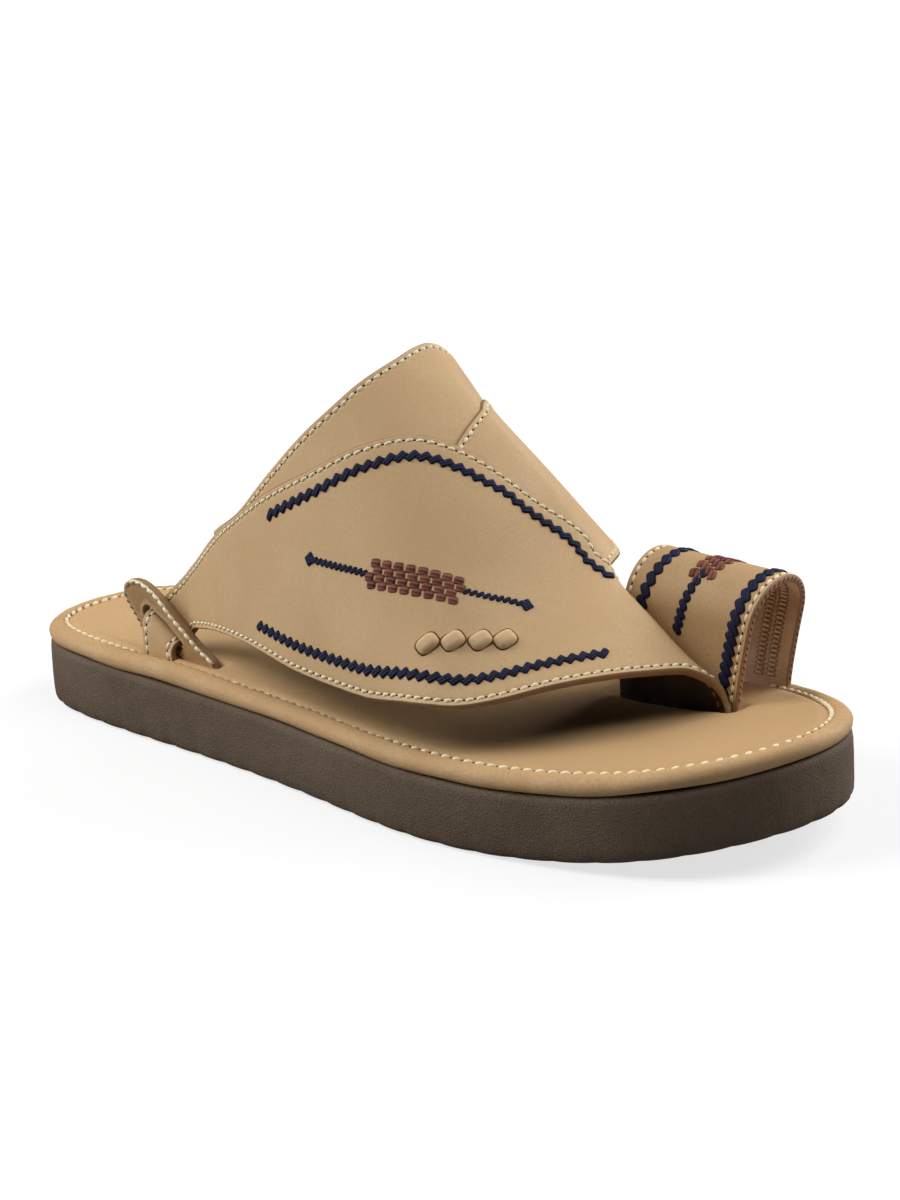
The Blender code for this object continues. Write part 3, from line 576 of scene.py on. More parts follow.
def row_steps(grid, ring):
    """Differences between the rows before and after each one, going round where it is a ring."""
    if ring:
        return (np.roll(grid, -1, 0) - np.roll(grid, 1, 0)) / 2
    return np.gradient(grid, axis=0)


def edge_insets(middle, lip, ring):
    """Each point's distance from its sheet's two edges: its way along the row, times the sine of
    the angle between the row and the edge."""
    step = np.linalg.norm(np.diff(middle, axis=1, prepend=middle[:, :1]), axis=2)
    run = np.cumsum(step, axis=1)
    result = []
    for edge, ahead, way in ((0, 1, run), (-1, -2, run[:, -1:] - run)):
        tangent, row = row_steps(middle[:, edge], ring), middle[:, ahead] - middle[:, edge]
        sine = np.linalg.norm(np.cross(unit(tangent), unit(row)), axis=1)
        result.append(lip + way * sine[:, None])
    return result


def cut_sheet(middle, wall, centre, lip=CUT_LIP, ring=False, uneven=0.12, seed=1.0):
    """Leather sheet ready to be made: its normals turned away from centre, its insets, and its
    outer face, with a groove under the edge seams and a gentle unevenness that fades out
    towards the edges."""
    normal = unit(np.cross(row_steps(middle, ring), np.gradient(middle, axis=1)))
    if (normal * (middle - centre)).sum() < 0:
        normal = -normal
    near, far = edge_insets(middle, lip, ring)
    edge = np.minimum(near, far)
    wave = ripple(middle[..., 0] + 0.6 * middle[..., 2], middle[..., 1], 11.0, seed)
    relief = uneven * wave * smooth_step(edge, 1, 7) - SEAM_GROOVE * bell(edge, SEAM_INSET, 0.6)
    face = middle + normal * (wall / 2 + relief)[..., None]
    run = distances(middle[:, middle.shape[1] // 2])
    return SimpleNamespace(middle=middle, wall=wall, normal=normal, lip=lip, ring=ring, near=near,
                           far=far, edge=edge, face=face, run=run)


def leather_sheet(cut, inner_relief):
    """Closed sheet of a cut one: its outer face, its inner face half the wall in along the normal,
    and both edges rounded by half an ellipse. Gives points, groups of faces, each point's grid
    column, and each face's side (0 outer, 1 edge, 2 inner)."""
    rows, columns = cut.middle.shape[:2]
    turns = EDGE_TURNS
    depth = np.broadcast_to(cut.wall / 2 + inner_relief, (rows, columns))
    outer, inner = cut.face, cut.middle - cut.normal * depth[..., None]
    turn = np.radians(np.linspace(90, -90, turns + 2))[1:-1][None, :, None]
    bows = []
    for edge, before in ((-1, -2), (0, 1)):
        out = unit(cut.middle[:, edge] - cut.middle[:, before])[:, None]
        top, low = outer[:, edge][:, None], inner[:, edge][:, None]
        bows.append((top + low) / 2 + out * cut.lip * np.cos(turn)
                    + (top - low) / 2 * np.sin(turn))
    loop = np.concatenate([outer, bows[0], inner[:, ::-1], bows[1][:, ::-1]], axis=1)
    count = loop.shape[1]
    index = np.arange(rows * count).reshape(rows, count)
    index = np.hstack([index, index[:, :1]])
    if cut.ring:
        index = np.vstack([index, index[:1]])
    kind = np.ones(count, int)
    kind[:columns - 1] = 0
    kind[columns + turns:2 * columns + turns - 1] = 2
    groups, sides = [quads(index)], [np.tile(kind, index.shape[0] - 1)]
    if not cut.ring:
        across = np.arange(columns)
        opposite = 2 * columns + turns - 1 - across
        cap = np.stack([across[:-1], across[1:], opposite[1:], opposite[:-1]], -1)
        ends = [np.arange(columns - 1, columns + turns + 1)[None],
                np.append(np.arange(2 * columns + turns - 1, count), 0)[None]]
        for base, order in ((0, 1), ((rows - 1) * count, -1)):
            groups += [(group + base)[:, ::order] for group in (cap, *ends)]
            sides.append(np.ones(len(cap) + len(ends), int))
    column = np.concatenate([np.arange(columns), np.full(turns, columns - 1),
                             np.arange(columns)[::-1], np.zeros(turns, int)])
    return loop.reshape(-1, 3), groups, np.tile(column, rows), np.concatenate(sides)


def leather_piece(name, cut, materials, inner_relief=0.0):
    """Object of a cut sheet, with UV in mm along and across it and its points' edge distance."""
    points, groups, column, side = leather_sheet(cut, inner_relief)
    rows = len(cut.middle)
    row = np.repeat(np.arange(rows), len(column) // rows)
    uv = np.stack([cut.run[row], cut.near[row, column]], -1)
    return make_piece(name, points, groups, materials, face_material=side, uv=uv,
                      values={"edge_mm": cut.edge[row, column]})


def at_inset(reach, values, inset):
    """Values of a sheet's rows at the place where each row's reach passes inset, blended between
    the two columns round it."""
    here = np.clip((reach < np.asarray(inset)[..., None]).sum(1), 1, reach.shape[1] - 1)
    row = np.arange(len(here))
    low, high = reach[row, here - 1], reach[row, here]
    t = ((inset - low) / np.maximum(high - low, 1e-9))[:, None]
    return values[row, here - 1] * (1 - t) + values[row, here] * t


def line_inside(cut, inset, far=False, rows=slice(None)):
    """Line on a sheet's outer face that keeps inset mm from one edge, with its normals."""
    inwards = slice(None, None, -1 if far else 1)
    reach = (cut.far if far else cut.near)[rows, inwards]
    grid = np.concatenate([cut.face, cut.normal], -1)[rows, inwards]
    line = at_inset(reach, grid, inset)
    return line[:, :3], unit(line[:, 3:])


def on_sheet(cut, run, inset, under=False):
    """Points, normals and tangents at distances along a sheet and from its near edge, blended
    between the two rows and the two columns round each place. under takes the inner face."""
    face = cut.middle - cut.normal * cut.wall / 2 if under else cut.face
    grid = np.concatenate([face, -cut.normal if under else cut.normal], -1)

    def at_run(distance):
        at = np.interp(distance, cut.run, np.arange(len(cut.run)))
        low = np.minimum(at.astype(int), len(cut.run) - 2)
        before = at_inset(cut.near[low], grid[low], inset)
        after = at_inset(cut.near[low + 1], grid[low + 1], inset)
        share = (at - low)[:, None]
        return before * (1 - share) + after * share

    spot, ahead, behind = at_run(run), at_run(run + 0.4), at_run(run - 0.4)
    return spot[:, :3], unit(spot[:, 3:]), unit(ahead[:, :3] - behind[:, :3])


# ---------------------------------------------------------------- stitches


def shaped_copies(name, thread, shape, lines, half, tilt=0.0, lift_by=0.0):
    """One object of a small shape set along lines of centres, normals and tangents: half holds
    its half-length, half-width and height, and tilt turns it in the surface. Its tint is a
    different number from 0 to 1 for each copy."""
    centre, normal, tangent = [np.concatenate(parts) for parts in zip(*lines)]
    ahead = tangent * math.cos(tilt) + np.cross(normal, tangent) * math.sin(tilt)
    axes = np.stack([ahead * half[0], np.cross(normal, ahead) * half[1], normal * half[2]], 1)
    form, faces = shape
    points = (centre + normal * lift_by)[:, None] + np.einsum("sk,nkc->nsc", form, axes)
    shift = (np.arange(len(centre)) * len(form))[:, None, None]
    groups = [(group + shift).reshape(-1, group.shape[1]) for group in faces]
    tint = np.modf(np.sin(np.arange(len(centre)) * 12.9898) * 43.758)[0] % 1
    return make_piece(name, points.reshape(-1, 3), groups, [thread],
                      uv=np.tile(form[:, :2], (len(centre), 1)),
                      values={"tint": np.repeat(tint, len(form))})


def seam(lines, pitch):
    """Stitches and the needle holes between them along lines of points and normals."""
    return [[evenly(*line, pitch, ends) for line in lines] for ends in (0.5, 1.0)]


def sewn(name, thread, lines, pitch=SEAM_PITCH, stitch=STITCH_UNIT, hole=HOLE_UNIT, slant=0.15):
    """A seam's stitches and, between them, dark discs: painted shade of the needle holes."""
    stitches, holes = seam(lines, pitch)
    shaped_copies(name + "_stitches", thread, BEAD, stitches, stitch, tilt=slant)
    # Painted shade of the needle holes between the stitches.
    shaped_copies(name + "_hole_shades", HOLE_SHADE, HOLE_DISC, holes, hole)


# ---------------------------------------------------------------- materials

GRAIN_DENT, THREAD_DENT, LINING_DENT = 0.00022, 0.00018, 0.0002  # metres
SPECKS_SHOW, WEAR_SHOWS = 0.55, 0.6
# Painted shade: the footbed's leather is darkened from the arch to the toes, under the upper and
# the toe loop.
PAINTED_SHADE_FROM, PAINTED_SHADE_TO, PAINTED_SHADE_SHOWS = 0.02, 0.08, 0.8  # metres ahead of the middle, and share


def screen(colour):
    """Linear colour of an sRGB one given from 0 to 255."""
    value = np.array(colour) / 255
    linear = np.where(value <= 0.04045, value / 12.92, ((value + 0.055) / 1.055) ** 2.4)
    return (*linear, 1.0)


class Nodes:
    """Short way to add nodes to a tree and join them."""

    def __init__(self, tree):
        self.tree = tree

    def put(self, value, socket):
        """Joins a value to a socket where it is a socket itself, and else sets it there."""
        if isinstance(value, bpy.types.NodeSocket):
            self.tree.links.new(value, socket)
        else:
            socket.default_value = value

    def feed(self, node, **inputs):
        """Fills inputs of a node that are given by name (Base_Color) or by number (i0)."""
        for key, value in inputs.items():
            numbered = key[0] == "i" and key[1:].isdigit()
            self.put(value, node.inputs[int(key[1:]) if numbered else key.replace("_", " ")])
        return node

    def add(self, kind, settings=None, **inputs):
        """New node with its settings and inputs."""
        node = self.tree.nodes.new(kind)
        for key, value in (settings or {}).items():
            setattr(node, key, value)
        return self.feed(node, **inputs)

    def maths(self, operation, a, b=0.0, c=0.0):
        """Result of an operation on one to three values."""
        return self.add("ShaderNodeMath", {"operation": operation}, i0=a, i1=b, i2=c).outputs[0]

    def mix(self, factor, a, b):
        """Colour a at factor 0 and colour b at 1."""
        node = self.add("ShaderNodeMix", {"data_type": "RGBA"}, i0=factor, i6=a, i7=b)
        return node.outputs[2]

    def between(self, value, low, high, to_low=0.0, to_high=1.0):
        """Smooth step from to_low, where value is low, to to_high, where it is high."""
        return self.add("ShaderNodeMapRange", {"interpolation_type": "SMOOTHSTEP"}, Value=value,
                        From_Min=low, From_Max=high, To_Min=to_low, To_Max=to_high).outputs[0]

    def noise(self, place, scale, detail):
        """Cloudy noise of about 0.5, with scale blotches to a metre."""
        return self.add("ShaderNodeTexNoise", Vector=place, Scale=scale, Detail=detail).outputs[0]

    def parts(self, place):
        """The x, y and z of a vector."""
        return self.add("ShaderNodeSeparateXYZ", i0=place).outputs

    def attribute(self, name):
        """Value that the mesh keeps at its points under a name."""
        return self.add("ShaderNodeAttribute", {"attribute_name": name}).outputs["Fac"]

    def group(self, tree, **inputs):
        """Outputs of a node group that is given these inputs."""
        return self.add("ShaderNodeGroup", {"node_tree": tree}, **inputs).outputs

    def dent(self, shader, height, strength, distance):
        """Bump on a shader: height 0 to 1 stands for distance in metres."""
        bump = self.add("ShaderNodeBump", Height=height, Strength=strength, Distance=distance)
        self.feed(shader, Normal=bump.outputs[0])


def effect(name, inputs, outputs):
    """New node group with float inputs, but Place a vector, and float outputs."""
    tree = bpy.data.node_groups.new(name, "ShaderNodeTree")
    tree.interface.new_socket("Place", in_out="INPUT", socket_type="NodeSocketVector")
    for key, value in inputs.items():
        socket = tree.interface.new_socket(key, in_out="INPUT", socket_type="NodeSocketFloat")
        socket.default_value = value
    for key in outputs:
        tree.interface.new_socket(key, in_out="OUTPUT", socket_type="NodeSocketFloat")
    n = Nodes(tree)
    return tree, n, n.add("NodeGroupInput").outputs, n.add("NodeGroupOutput")


def leather_grain():
    """Pebbled grain: cells of about Pore mm with finer hair creases, and slow clouds of tone."""
    tree, n, given, out = effect("leather_grain", {"Pore": 1.0, "Cloud": 22.0},
                                 ["Height", "Clouds", "Specks"])
    place = given["Place"]
    per_mm = n.maths("DIVIDE", 1000.0, given["Pore"])
    cells = n.add("ShaderNodeTexVoronoi", {"feature": "DISTANCE_TO_EDGE"}, Vector=place,
                  Scale=per_mm)
    pebble = n.between(cells.outputs["Distance"], 0.0, 0.32)
    fine = n.noise(place, n.maths("MULTIPLY", per_mm, 2.6), 3.0)
    broad = n.noise(place, n.maths("MULTIPLY", per_mm, 0.22), 2.0)
    cloud = n.noise(place, n.maths("DIVIDE", 1000.0, given["Cloud"]), 4.0)
    speck = n.noise(place, n.maths("MULTIPLY", per_mm, 1.1), 2.0)
    height = n.maths("MULTIPLY_ADD", pebble, 0.45, n.maths("MULTIPLY", fine, 0.55))
    n.feed(out, Height=n.maths("MULTIPLY_ADD", broad, 1.3, height),
           Clouds=n.between(cloud, 0.34, 0.66), Specks=n.between(speck, 0.42, 0.68))
    return tree


def handled_edge():
    """Wear by the distance from a cut edge: 1 at the edge, broken by patches, 0 past Reach mm."""
    tree, n, given, out = effect("handled_edge", {"Edge": 9.0, "Reach": 3.0}, ["Wear"])
    patch = n.noise(given["Place"], 190.0, 3.0)
    near = n.maths("SUBTRACT", 1.0, n.maths("DIVIDE", given["Edge"], given["Reach"]))
    worn = n.maths("MULTIPLY_ADD", patch, 1.1, n.maths("SUBTRACT", near, 0.55))
    n.feed(out, Wear=n.between(worn, 0.0, 0.55))
    return tree


def thread_lie():
    """Strands of a thread on UV: waves along the first axis turned by Twist."""
    tree, n, given, out = effect("thread_lie", {"Strands": 4.0, "Twist": 0.6}, ["Height"])
    parts = n.parts(given["Place"])
    across = n.maths("MULTIPLY_ADD", parts[0], given["Twist"], parts[1])
    wave = n.maths("SINE", n.maths("MULTIPLY", n.maths("MULTIPLY", across, given["Strands"]),
                                   3.1416))
    n.feed(out, Height=n.maths("MULTIPLY_ADD", wave, 0.5, 0.5))
    return tree


def new_material(name, colour, roughness, specular):
    """Principled material with its nodes helper, its shader and its coordinates."""
    material = bpy.data.materials.new(name)
    material.use_nodes = True
    n = Nodes(material.node_tree)
    shader = n.feed(material.node_tree.nodes["Principled BSDF"], Base_Color=colour,
                    Roughness=roughness, Specular_IOR_Level=specular)
    return material, n, shader, n.add("ShaderNodeTexCoord").outputs


def leather(name, own, dark, speck, worn, roughness=0.62, pore=0.9, cloud=24.0, bump=0.35,
            reach=3.0, specular=0.28, painted_shade=None):
    """Grained leather: its own tone, its darker clouds, its specks and its worn edges.
    painted_shade is a darker tone painted from the arch to the toes: painted shade."""
    material, n, shader, place = new_material(name, screen(own), roughness, specular)
    spot = place["Object"]
    grain = n.group(GRAIN, Place=spot, Pore=pore, Cloud=cloud)
    wear = n.group(EDGE_WEAR, Place=spot, Edge=n.attribute("edge_mm"), Reach=reach)
    colour = n.mix(grain["Clouds"], screen(dark), screen(own))
    colour = n.mix(n.maths("MULTIPLY", grain["Specks"], SPECKS_SHOW), colour, screen(speck))
    colour = n.mix(n.maths("MULTIPLY", wear["Wear"], WEAR_SHOWS), colour, screen(worn))
    # Painted shade: a darker tone from the arch to the toes.
    if painted_shade:
        front = n.between(n.parts(spot)[1], PAINTED_SHADE_FROM, PAINTED_SHADE_TO, 0.0, PAINTED_SHADE_SHOWS)
        colour = n.mix(front, colour, screen(painted_shade))
    rough = n.between(grain["Clouds"], 0.0, 1.0, roughness + 0.07, roughness - 0.05)
    n.feed(shader, Base_Color=colour, Roughness=rough)
    n.dent(shader, grain["Height"], bump, GRAIN_DENT)
    return material


def thread_material(name, own, dark, strands=1.6, twist=0.5, roughness=0.55, bump=0.6):
    """Thread: strands on the piece's UV, shaded darker between them and a little from stitch to
    stitch."""
    material, n, shader, place = new_material(name, screen(own), roughness, 0.35)
    lie = n.group(THREAD, Place=place["UV"], Strands=strands, Twist=twist)
    shade = n.maths("MULTIPLY_ADD", n.attribute("tint"), 0.35, n.maths("MULTIPLY", lie[0], 0.65))
    n.feed(shader, Base_Color=n.mix(shade, screen(dark), screen(own)))
    n.dent(shader, lie[0], bump, THREAD_DENT)
    return material


def lining_material(name, own, dark):
    """Thin lining leather with fine ribs across the strap, on UV in mm."""
    material, n, shader, place = new_material(name, screen(own), 0.7, 0.2)
    rib = n.maths("SINE", n.maths("MULTIPLY", n.parts(place["UV"])[0], 7.0))
    grain = n.group(GRAIN, Place=place["Object"], Pore=0.8, Cloud=14.0)
    tone = n.maths("MULTIPLY_ADD", rib, 0.12, n.maths("MULTIPLY", grain["Clouds"], 0.8))
    n.feed(shader, Base_Color=n.mix(tone, screen(dark), screen(own)))
    n.dent(shader, n.maths("MULTIPLY_ADD", rib, 0.35, grain["Height"]), 0.5, LINING_DENT)
    return material


GRAIN, EDGE_WEAR, THREAD = leather_grain(), handled_edge(), thread_lie()
TAN = leather("tan_leather", (210, 177, 132), (205, 171, 127), (198, 164, 121), (217, 186, 145),
              bump=0.16, reach=2.2)
# Painted shade: a darker copy of the upper's tan for the toe loop.
LOOP_TAN_SHADED = leather("loop_leather_shaded", (194, 161, 119), (189, 155, 114), (181, 147, 108),
                   (203, 172, 131), bump=0.16, reach=2.2)
# Darker than the upper's tan: partly a darker leather, partly painted shade on the ears' faces,
# which turn away from the lamps.
EAR_LEATHER_AND_SHADE = leather("ear_leather_and_shade", (178, 143, 99), (170, 134, 91), (160, 124, 84),
                      (192, 158, 114), roughness=0.7, bump=0.26)
LOOP_EDGE = leather("loop_edge", (160, 120, 94), (142, 104, 80), (126, 90, 68), (182, 144, 114),
                    roughness=0.75, pore=0.5, cloud=8.0)
RAW_EDGE = leather("raw_edge", (138, 108, 76), (124, 96, 66), (106, 80, 55), (158, 128, 94),
                   roughness=0.75, pore=0.5, cloud=8.0)
# The footbed's front gets painted shade, not a tone of its own.
BED_LEATHER = leather("footbed_leather", (206, 170, 124), (199, 163, 118), (191, 155, 111),
                      (214, 182, 138), pore=1.0, cloud=30.0, bump=0.16, painted_shade=(188, 153, 109))
RIM_LEATHER = leather("rim_leather", (203, 167, 120), (195, 158, 112), (184, 147, 103),
                      (214, 182, 137), cloud=18.0, bump=0.24)
SOLE = leather("sole_compound", (111, 94, 77), (103, 87, 71), (91, 76, 62), (122, 105, 87),
               roughness=0.66, pore=0.8, cloud=20.0, bump=0.8, specular=0.22)
LINING = lining_material("upper_lining", (88, 76, 62), (62, 52, 42))
LOOP_LINING = lining_material("loop_lining", (236, 211, 186), (204, 172, 144))
LINING_THREAD = thread_material("lining_thread", (255, 236, 212), (206, 172, 144))
CREAM = thread_material("cream_thread", (255, 245, 214), (240, 220, 176), twist=0.55, bump=0.4)
NAVY = thread_material("navy_thread", (20, 30, 74), (5, 7, 18), 2.6, 0.25, roughness=0.75,
                       bump=0.9)
FOLD_THREAD = thread_material("fold_thread", (168, 152, 128), (104, 90, 72))
DARK_THREAD = thread_material("dark_thread", (96, 74, 50), (48, 34, 22))
BROWN = thread_material("brown_thread", (148, 88, 68), (56, 26, 19), 1.9, 0.12, roughness=0.7,
                        bump=0.8)
# Painted shade: dark discs between stitches stand for the shade in the needle holes.
HOLE_SHADE = new_material("needle_hole_shade", screen((44, 30, 20)), 0.9, 0.1)[0]
# Painted shade: the dark ring in the creases round the lozenges.
CREASE_SHADE = new_material("crease_shade", screen((104, 78, 50)), 0.9, 0.1)[0]

# ---------------------------------------------------------------- sole and footbed


def outline_x(angle):
    """Outline's x at an angle around the sole, 0 at the heel and pi at the toe, outer side first:
    a periodic cubic spline through the outline table, where y is half the length times one minus
    the angle's cosine."""
    y, outer, inner = np.array(OUTLINE).T
    first = np.arccos(1 - 2 * y / SOLE_LENGTH)
    knots = np.concatenate([first, 2 * math.pi - first[-2:0:-1]])
    values = np.concatenate([outer, inner[-2:0:-1]])
    laps = np.concatenate([knots - 2 * math.pi, knots, knots + 2 * math.pi])
    return curve(angle, np.column_stack([laps, np.tile(values, 3)]))[..., 0]


def outline_ring(inset):
    """Points of the sole's outline moved inwards by inset along its own normal, and the outward
    directions there."""
    small = 1e-3
    angle = 2 * math.pi * np.arange(AROUND) / AROUND

    def place(a):
        return np.column_stack([outline_x(a % (2 * math.pi)), SOLE_LENGTH / 2 * (1 - np.cos(a))])

    along = unit(place(angle + small) - place(angle - small))
    inward = np.column_stack([-along[:, 1], along[:, 0]])
    return place(angle) + inset * inward, -inward


def stacked(table, height):
    """Rings round the sole, one for each row of a table that starts with its inset. height(y, row)
    gives its points' z."""
    rings = []
    for row in table:
        ring, _ = outline_ring(row[0])
        rings.append(np.column_stack([ring, height(ring[:, 1], row)]))
    return np.array(rings)


def run_round(ring):
    """Distance run round a closed ring at the end of each of its steps."""
    return np.cumsum(np.linalg.norm(np.roll(ring, -1, 0) - ring, axis=1))


def covered(rings, columns, height):
    """Points and faces of stacked rings closed at the last one by rows across it, one for each
    pair of its points at like distance from the heel: quads between the rings, quads between the
    rows, and triangles at heel and toe. height(x, y) gives the rows' z."""
    half, first = AROUND // 2, (len(rings) - 1) * AROUND
    k = np.arange(1, half)
    share = (np.arange(1, columns) / columns)[None, :, None]
    outer, inner = rings[-1][k][:, None, :2], rings[-1][AROUND - k][:, None, :2]
    middle = outer * (1 - share) + inner * share
    points = np.concatenate([middle, height(middle[..., 0], middle[..., 1])[..., None]], -1)
    number = len(rings) * AROUND + np.arange(middle[..., 0].size).reshape(len(k), -1)
    rows = np.hstack([(first + k)[:, None], number, (first + AROUND - k)[:, None]])
    heel, toe = np.full(columns, first), np.full(columns, first + half)
    tips = np.concatenate([np.stack([heel, rows[0, :-1], rows[0, 1:]], -1),
                           np.stack([toe, rows[-1, 1:], rows[-1, :-1]], -1)])
    faces = [ring_quads(len(rings), AROUND), quads(rows)[:, ::-1], tips[:, ::-1]]
    return np.concatenate([rings.reshape(-1, 3), points.reshape(-1, 3)]), faces


def closed_block(rings, low_columns, low_height, top_columns, top_height):
    """Points and faces of stacked rings closed by rows across at both ends: the quads between the
    rings, the quads of both covers, and their triangles."""
    top, (body, *top_cover) = covered(rings, top_columns, top_height)
    low, (_, *low_cover) = covered(rings[::-1], low_columns, low_height)
    ringed = len(rings) * AROUND
    turned = np.arange(ringed).reshape(len(rings), AROUND)[::-1].ravel()
    number = np.concatenate([turned, len(top) + np.arange(len(low) - ringed)])
    covers = [np.concatenate([over, number[under][:, ::-1]])
              for over, under in zip(top_cover, low_cover)]
    return np.concatenate([top, low[ringed:]]), [body, *covers]


def span(y, start, end, ramp=4.0):
    """1 between two distances from the heel, with a soft ramp inside each."""
    return smooth_step(y, start, start + ramp) * smooth_step(y, end, end - ramp)


def tread(x, y):
    """Height of the sole's underside: waves of TREAD_PITCH across it, bowed forwards and back,
    under the heel and the ball."""
    half = TREAD_HALF + TREAD_WIDENING * smooth_step(y, 60, 190)
    edge = smooth_step(np.abs(x - TREAD_MIDDLE_X) / half, 0.95, 0.8)
    wave = np.sin((y + TREAD_BOW * np.cos(x / 7.0)) * 2 * math.pi / TREAD_PITCH)
    field = np.maximum(*[span(y, start, end) for start, end in TREAD_FIELDS])
    return lift(y) + TREAD_DEPTH * smooth_step(wave, 0.25, 0.75) * field * edge


def make_outsole():
    """Sole block with its rounded tread edge, scalloped round that edge, its slightly uneven side
    and the tread's waves."""
    rings = stacked(SOLE_RINGS, lambda y, row: block_top(y) * row[2] + lift(y) * (1 - row[2])
                    + row[1])
    scallop, uneven = np.array(SOLE_RINGS).T[3:, :, None]
    run = run_round(rings[6])
    pitch = run[-1] / round(run[-1] / SCALLOP_PITCH)
    notch = (1 - np.abs(np.sin(math.pi * run / pitch))) ** 1.6
    side = SOLE_UNEVEN * uneven * ripple(run, rings[..., 2] * 2.2, 9.0, 2.0)
    rings[..., :2] += (side - scallop * notch)[..., None] * outline_ring(0.0)[1]
    points, faces = closed_block(rings, 60, tread, 4, lambda x, y: block_top(y))
    piece = make_piece("outsole_block", points, faces, [SOLE],
                       values={"edge_mm": np.full(len(points), NO_EDGE)})
    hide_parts("outsole")


def pad_top(x, y):
    """Height of the footbed's pad: crowned within its rim, dished at the heel by a bell, slightly
    uneven, and drawn down along the slits."""
    ring, _ = outline_ring(0.0)
    half = AROUND // 2
    sides = [np.abs(x - np.interp(y, line[:, 1], line[:, 0]))
             for line in (ring[:half + 1], ring[:half - 1:-1])]
    side = np.minimum.reduce([*sides, y, SOLE_LENGTH - y])
    edge, away = BED_RINGS[-1], np.hypot(x, y - HEEL_DISH_Y) / HEEL_DISH_REACH
    top = block_top(y) + edge[1] + (PAD_HEIGHT - edge[1]) * smooth_step(side, edge[0], 20)
    top += PAD_UNEVEN * ripple(x, y, 13.0, 7.0) * smooth_step(side, 9, 16)
    top -= HEEL_DISH * np.exp(-2 * away ** 2)
    for slit_x, first, last, half_width in SLITS:
        along = np.maximum(np.maximum(first - y, y - last), 0)
        across = np.maximum(np.abs(x - slit_x) - half_width, 0)
        top -= SLIT_DEPTH * np.exp(-(across ** 2 + along ** 2) / SLIT_REACH ** 2)
    return top


def make_footbed():
    """Padded footbed: rolled rim, sewn groove, and a pad that dishes at the heel and is drawn down
    where the straps go in. The rim is slightly puckered and its lower line slightly wavy."""
    rings = stacked(BED_RINGS, lambda y, row: block_top(y) + row[1])
    outwards, upwards, low_line, pulled, swollen = np.array(BED_RINGS).T[2:, :, None]
    run = run_round(rings[4])
    patches = 0.35 + 0.65 * smooth_step(np.sin(run / 31.0), -0.3, 0.8)
    pucker = PUCKER * np.sin(run / 1.9 + 1.4 * np.sin(run / 13.0)) * patches
    slow = RIM_UNEVEN * ripple(run, run * 0.3, 8.0, 3.0)
    rings[..., :2] += (outwards * (pucker + slow))[..., None] * outline_ring(0.0)[1]
    rings[..., 2] += upwards * (0.5 * pucker + 0.3 * slow)
    rings[..., 2] += low_line * LOW_LINE_WAVE * ripple(run, run * 0.2, 6.0, 5.0)
    pull = np.cos(2 * math.pi * (run_round(rings[BED_SEAM_RING]) / BED_PITCH - 0.5))
    by_ear = EAR_SWELLING * bell(rings[5, :, 1], EAR_SWELLING_Y, EAR_SWELLING_WIDTH)
    by_ear *= rings[5, :, 0] > 0
    rings[..., 2] += pulled * pull + swollen * by_ear
    points, faces = closed_block(rings, 4, lambda x, y: block_top(y) + BED_RINGS[0][1],
                                 64, pad_top)
    on_rim = np.arange(len(faces[0])) < BED_SEAM_RING * AROUND
    covers = np.zeros(len(faces[1]) + len(faces[2]), int)
    piece = make_piece("footbed_pad_and_rim", points, faces, [BED_LEATHER, RIM_LEATHER],
                       face_material=np.concatenate([on_rim, covers]),
                       values={"edge_mm": np.full(len(points), NO_EDGE)})
    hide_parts("footbed")
    sew_footbed()


def sew_footbed():
    """The seam in the rim's groove, from the outer side of the arch round the toe and the heel to
    the ear. It sinks a little into the leather where it starts."""
    ring, _ = outline_ring(BED_SEAM_INSET)
    line = np.column_stack([ring, block_top(ring[:, 1]) + BED_SEAM_Z])
    slope = np.roll(line, -1, 0) - np.roll(line, 1, 0)
    normal = unit(np.cross(slope, np.cross([0, 0, 1.0], slope)))
    y = line[:, 1]
    sunk = smooth_step(y, 100, 110) * smooth_step(y, 190, 158) * (line[:, 0] > 0)
    first, last = np.argmax(y > BED_SEAM_STARTS), np.argmax(y > BED_SEAM_ENDS)
    part = np.arange(first, AROUND + last) % AROUND
    line[:, 2] -= 0.5 * sunk
    sewn("footbed", CREAM, [(line[part], normal[part])], pitch=BED_PITCH,
         stitch=BED_STITCH_UNIT, hole=BED_HOLE_UNIT, slant=0.3)


# ---------------------------------------------------------------- upper


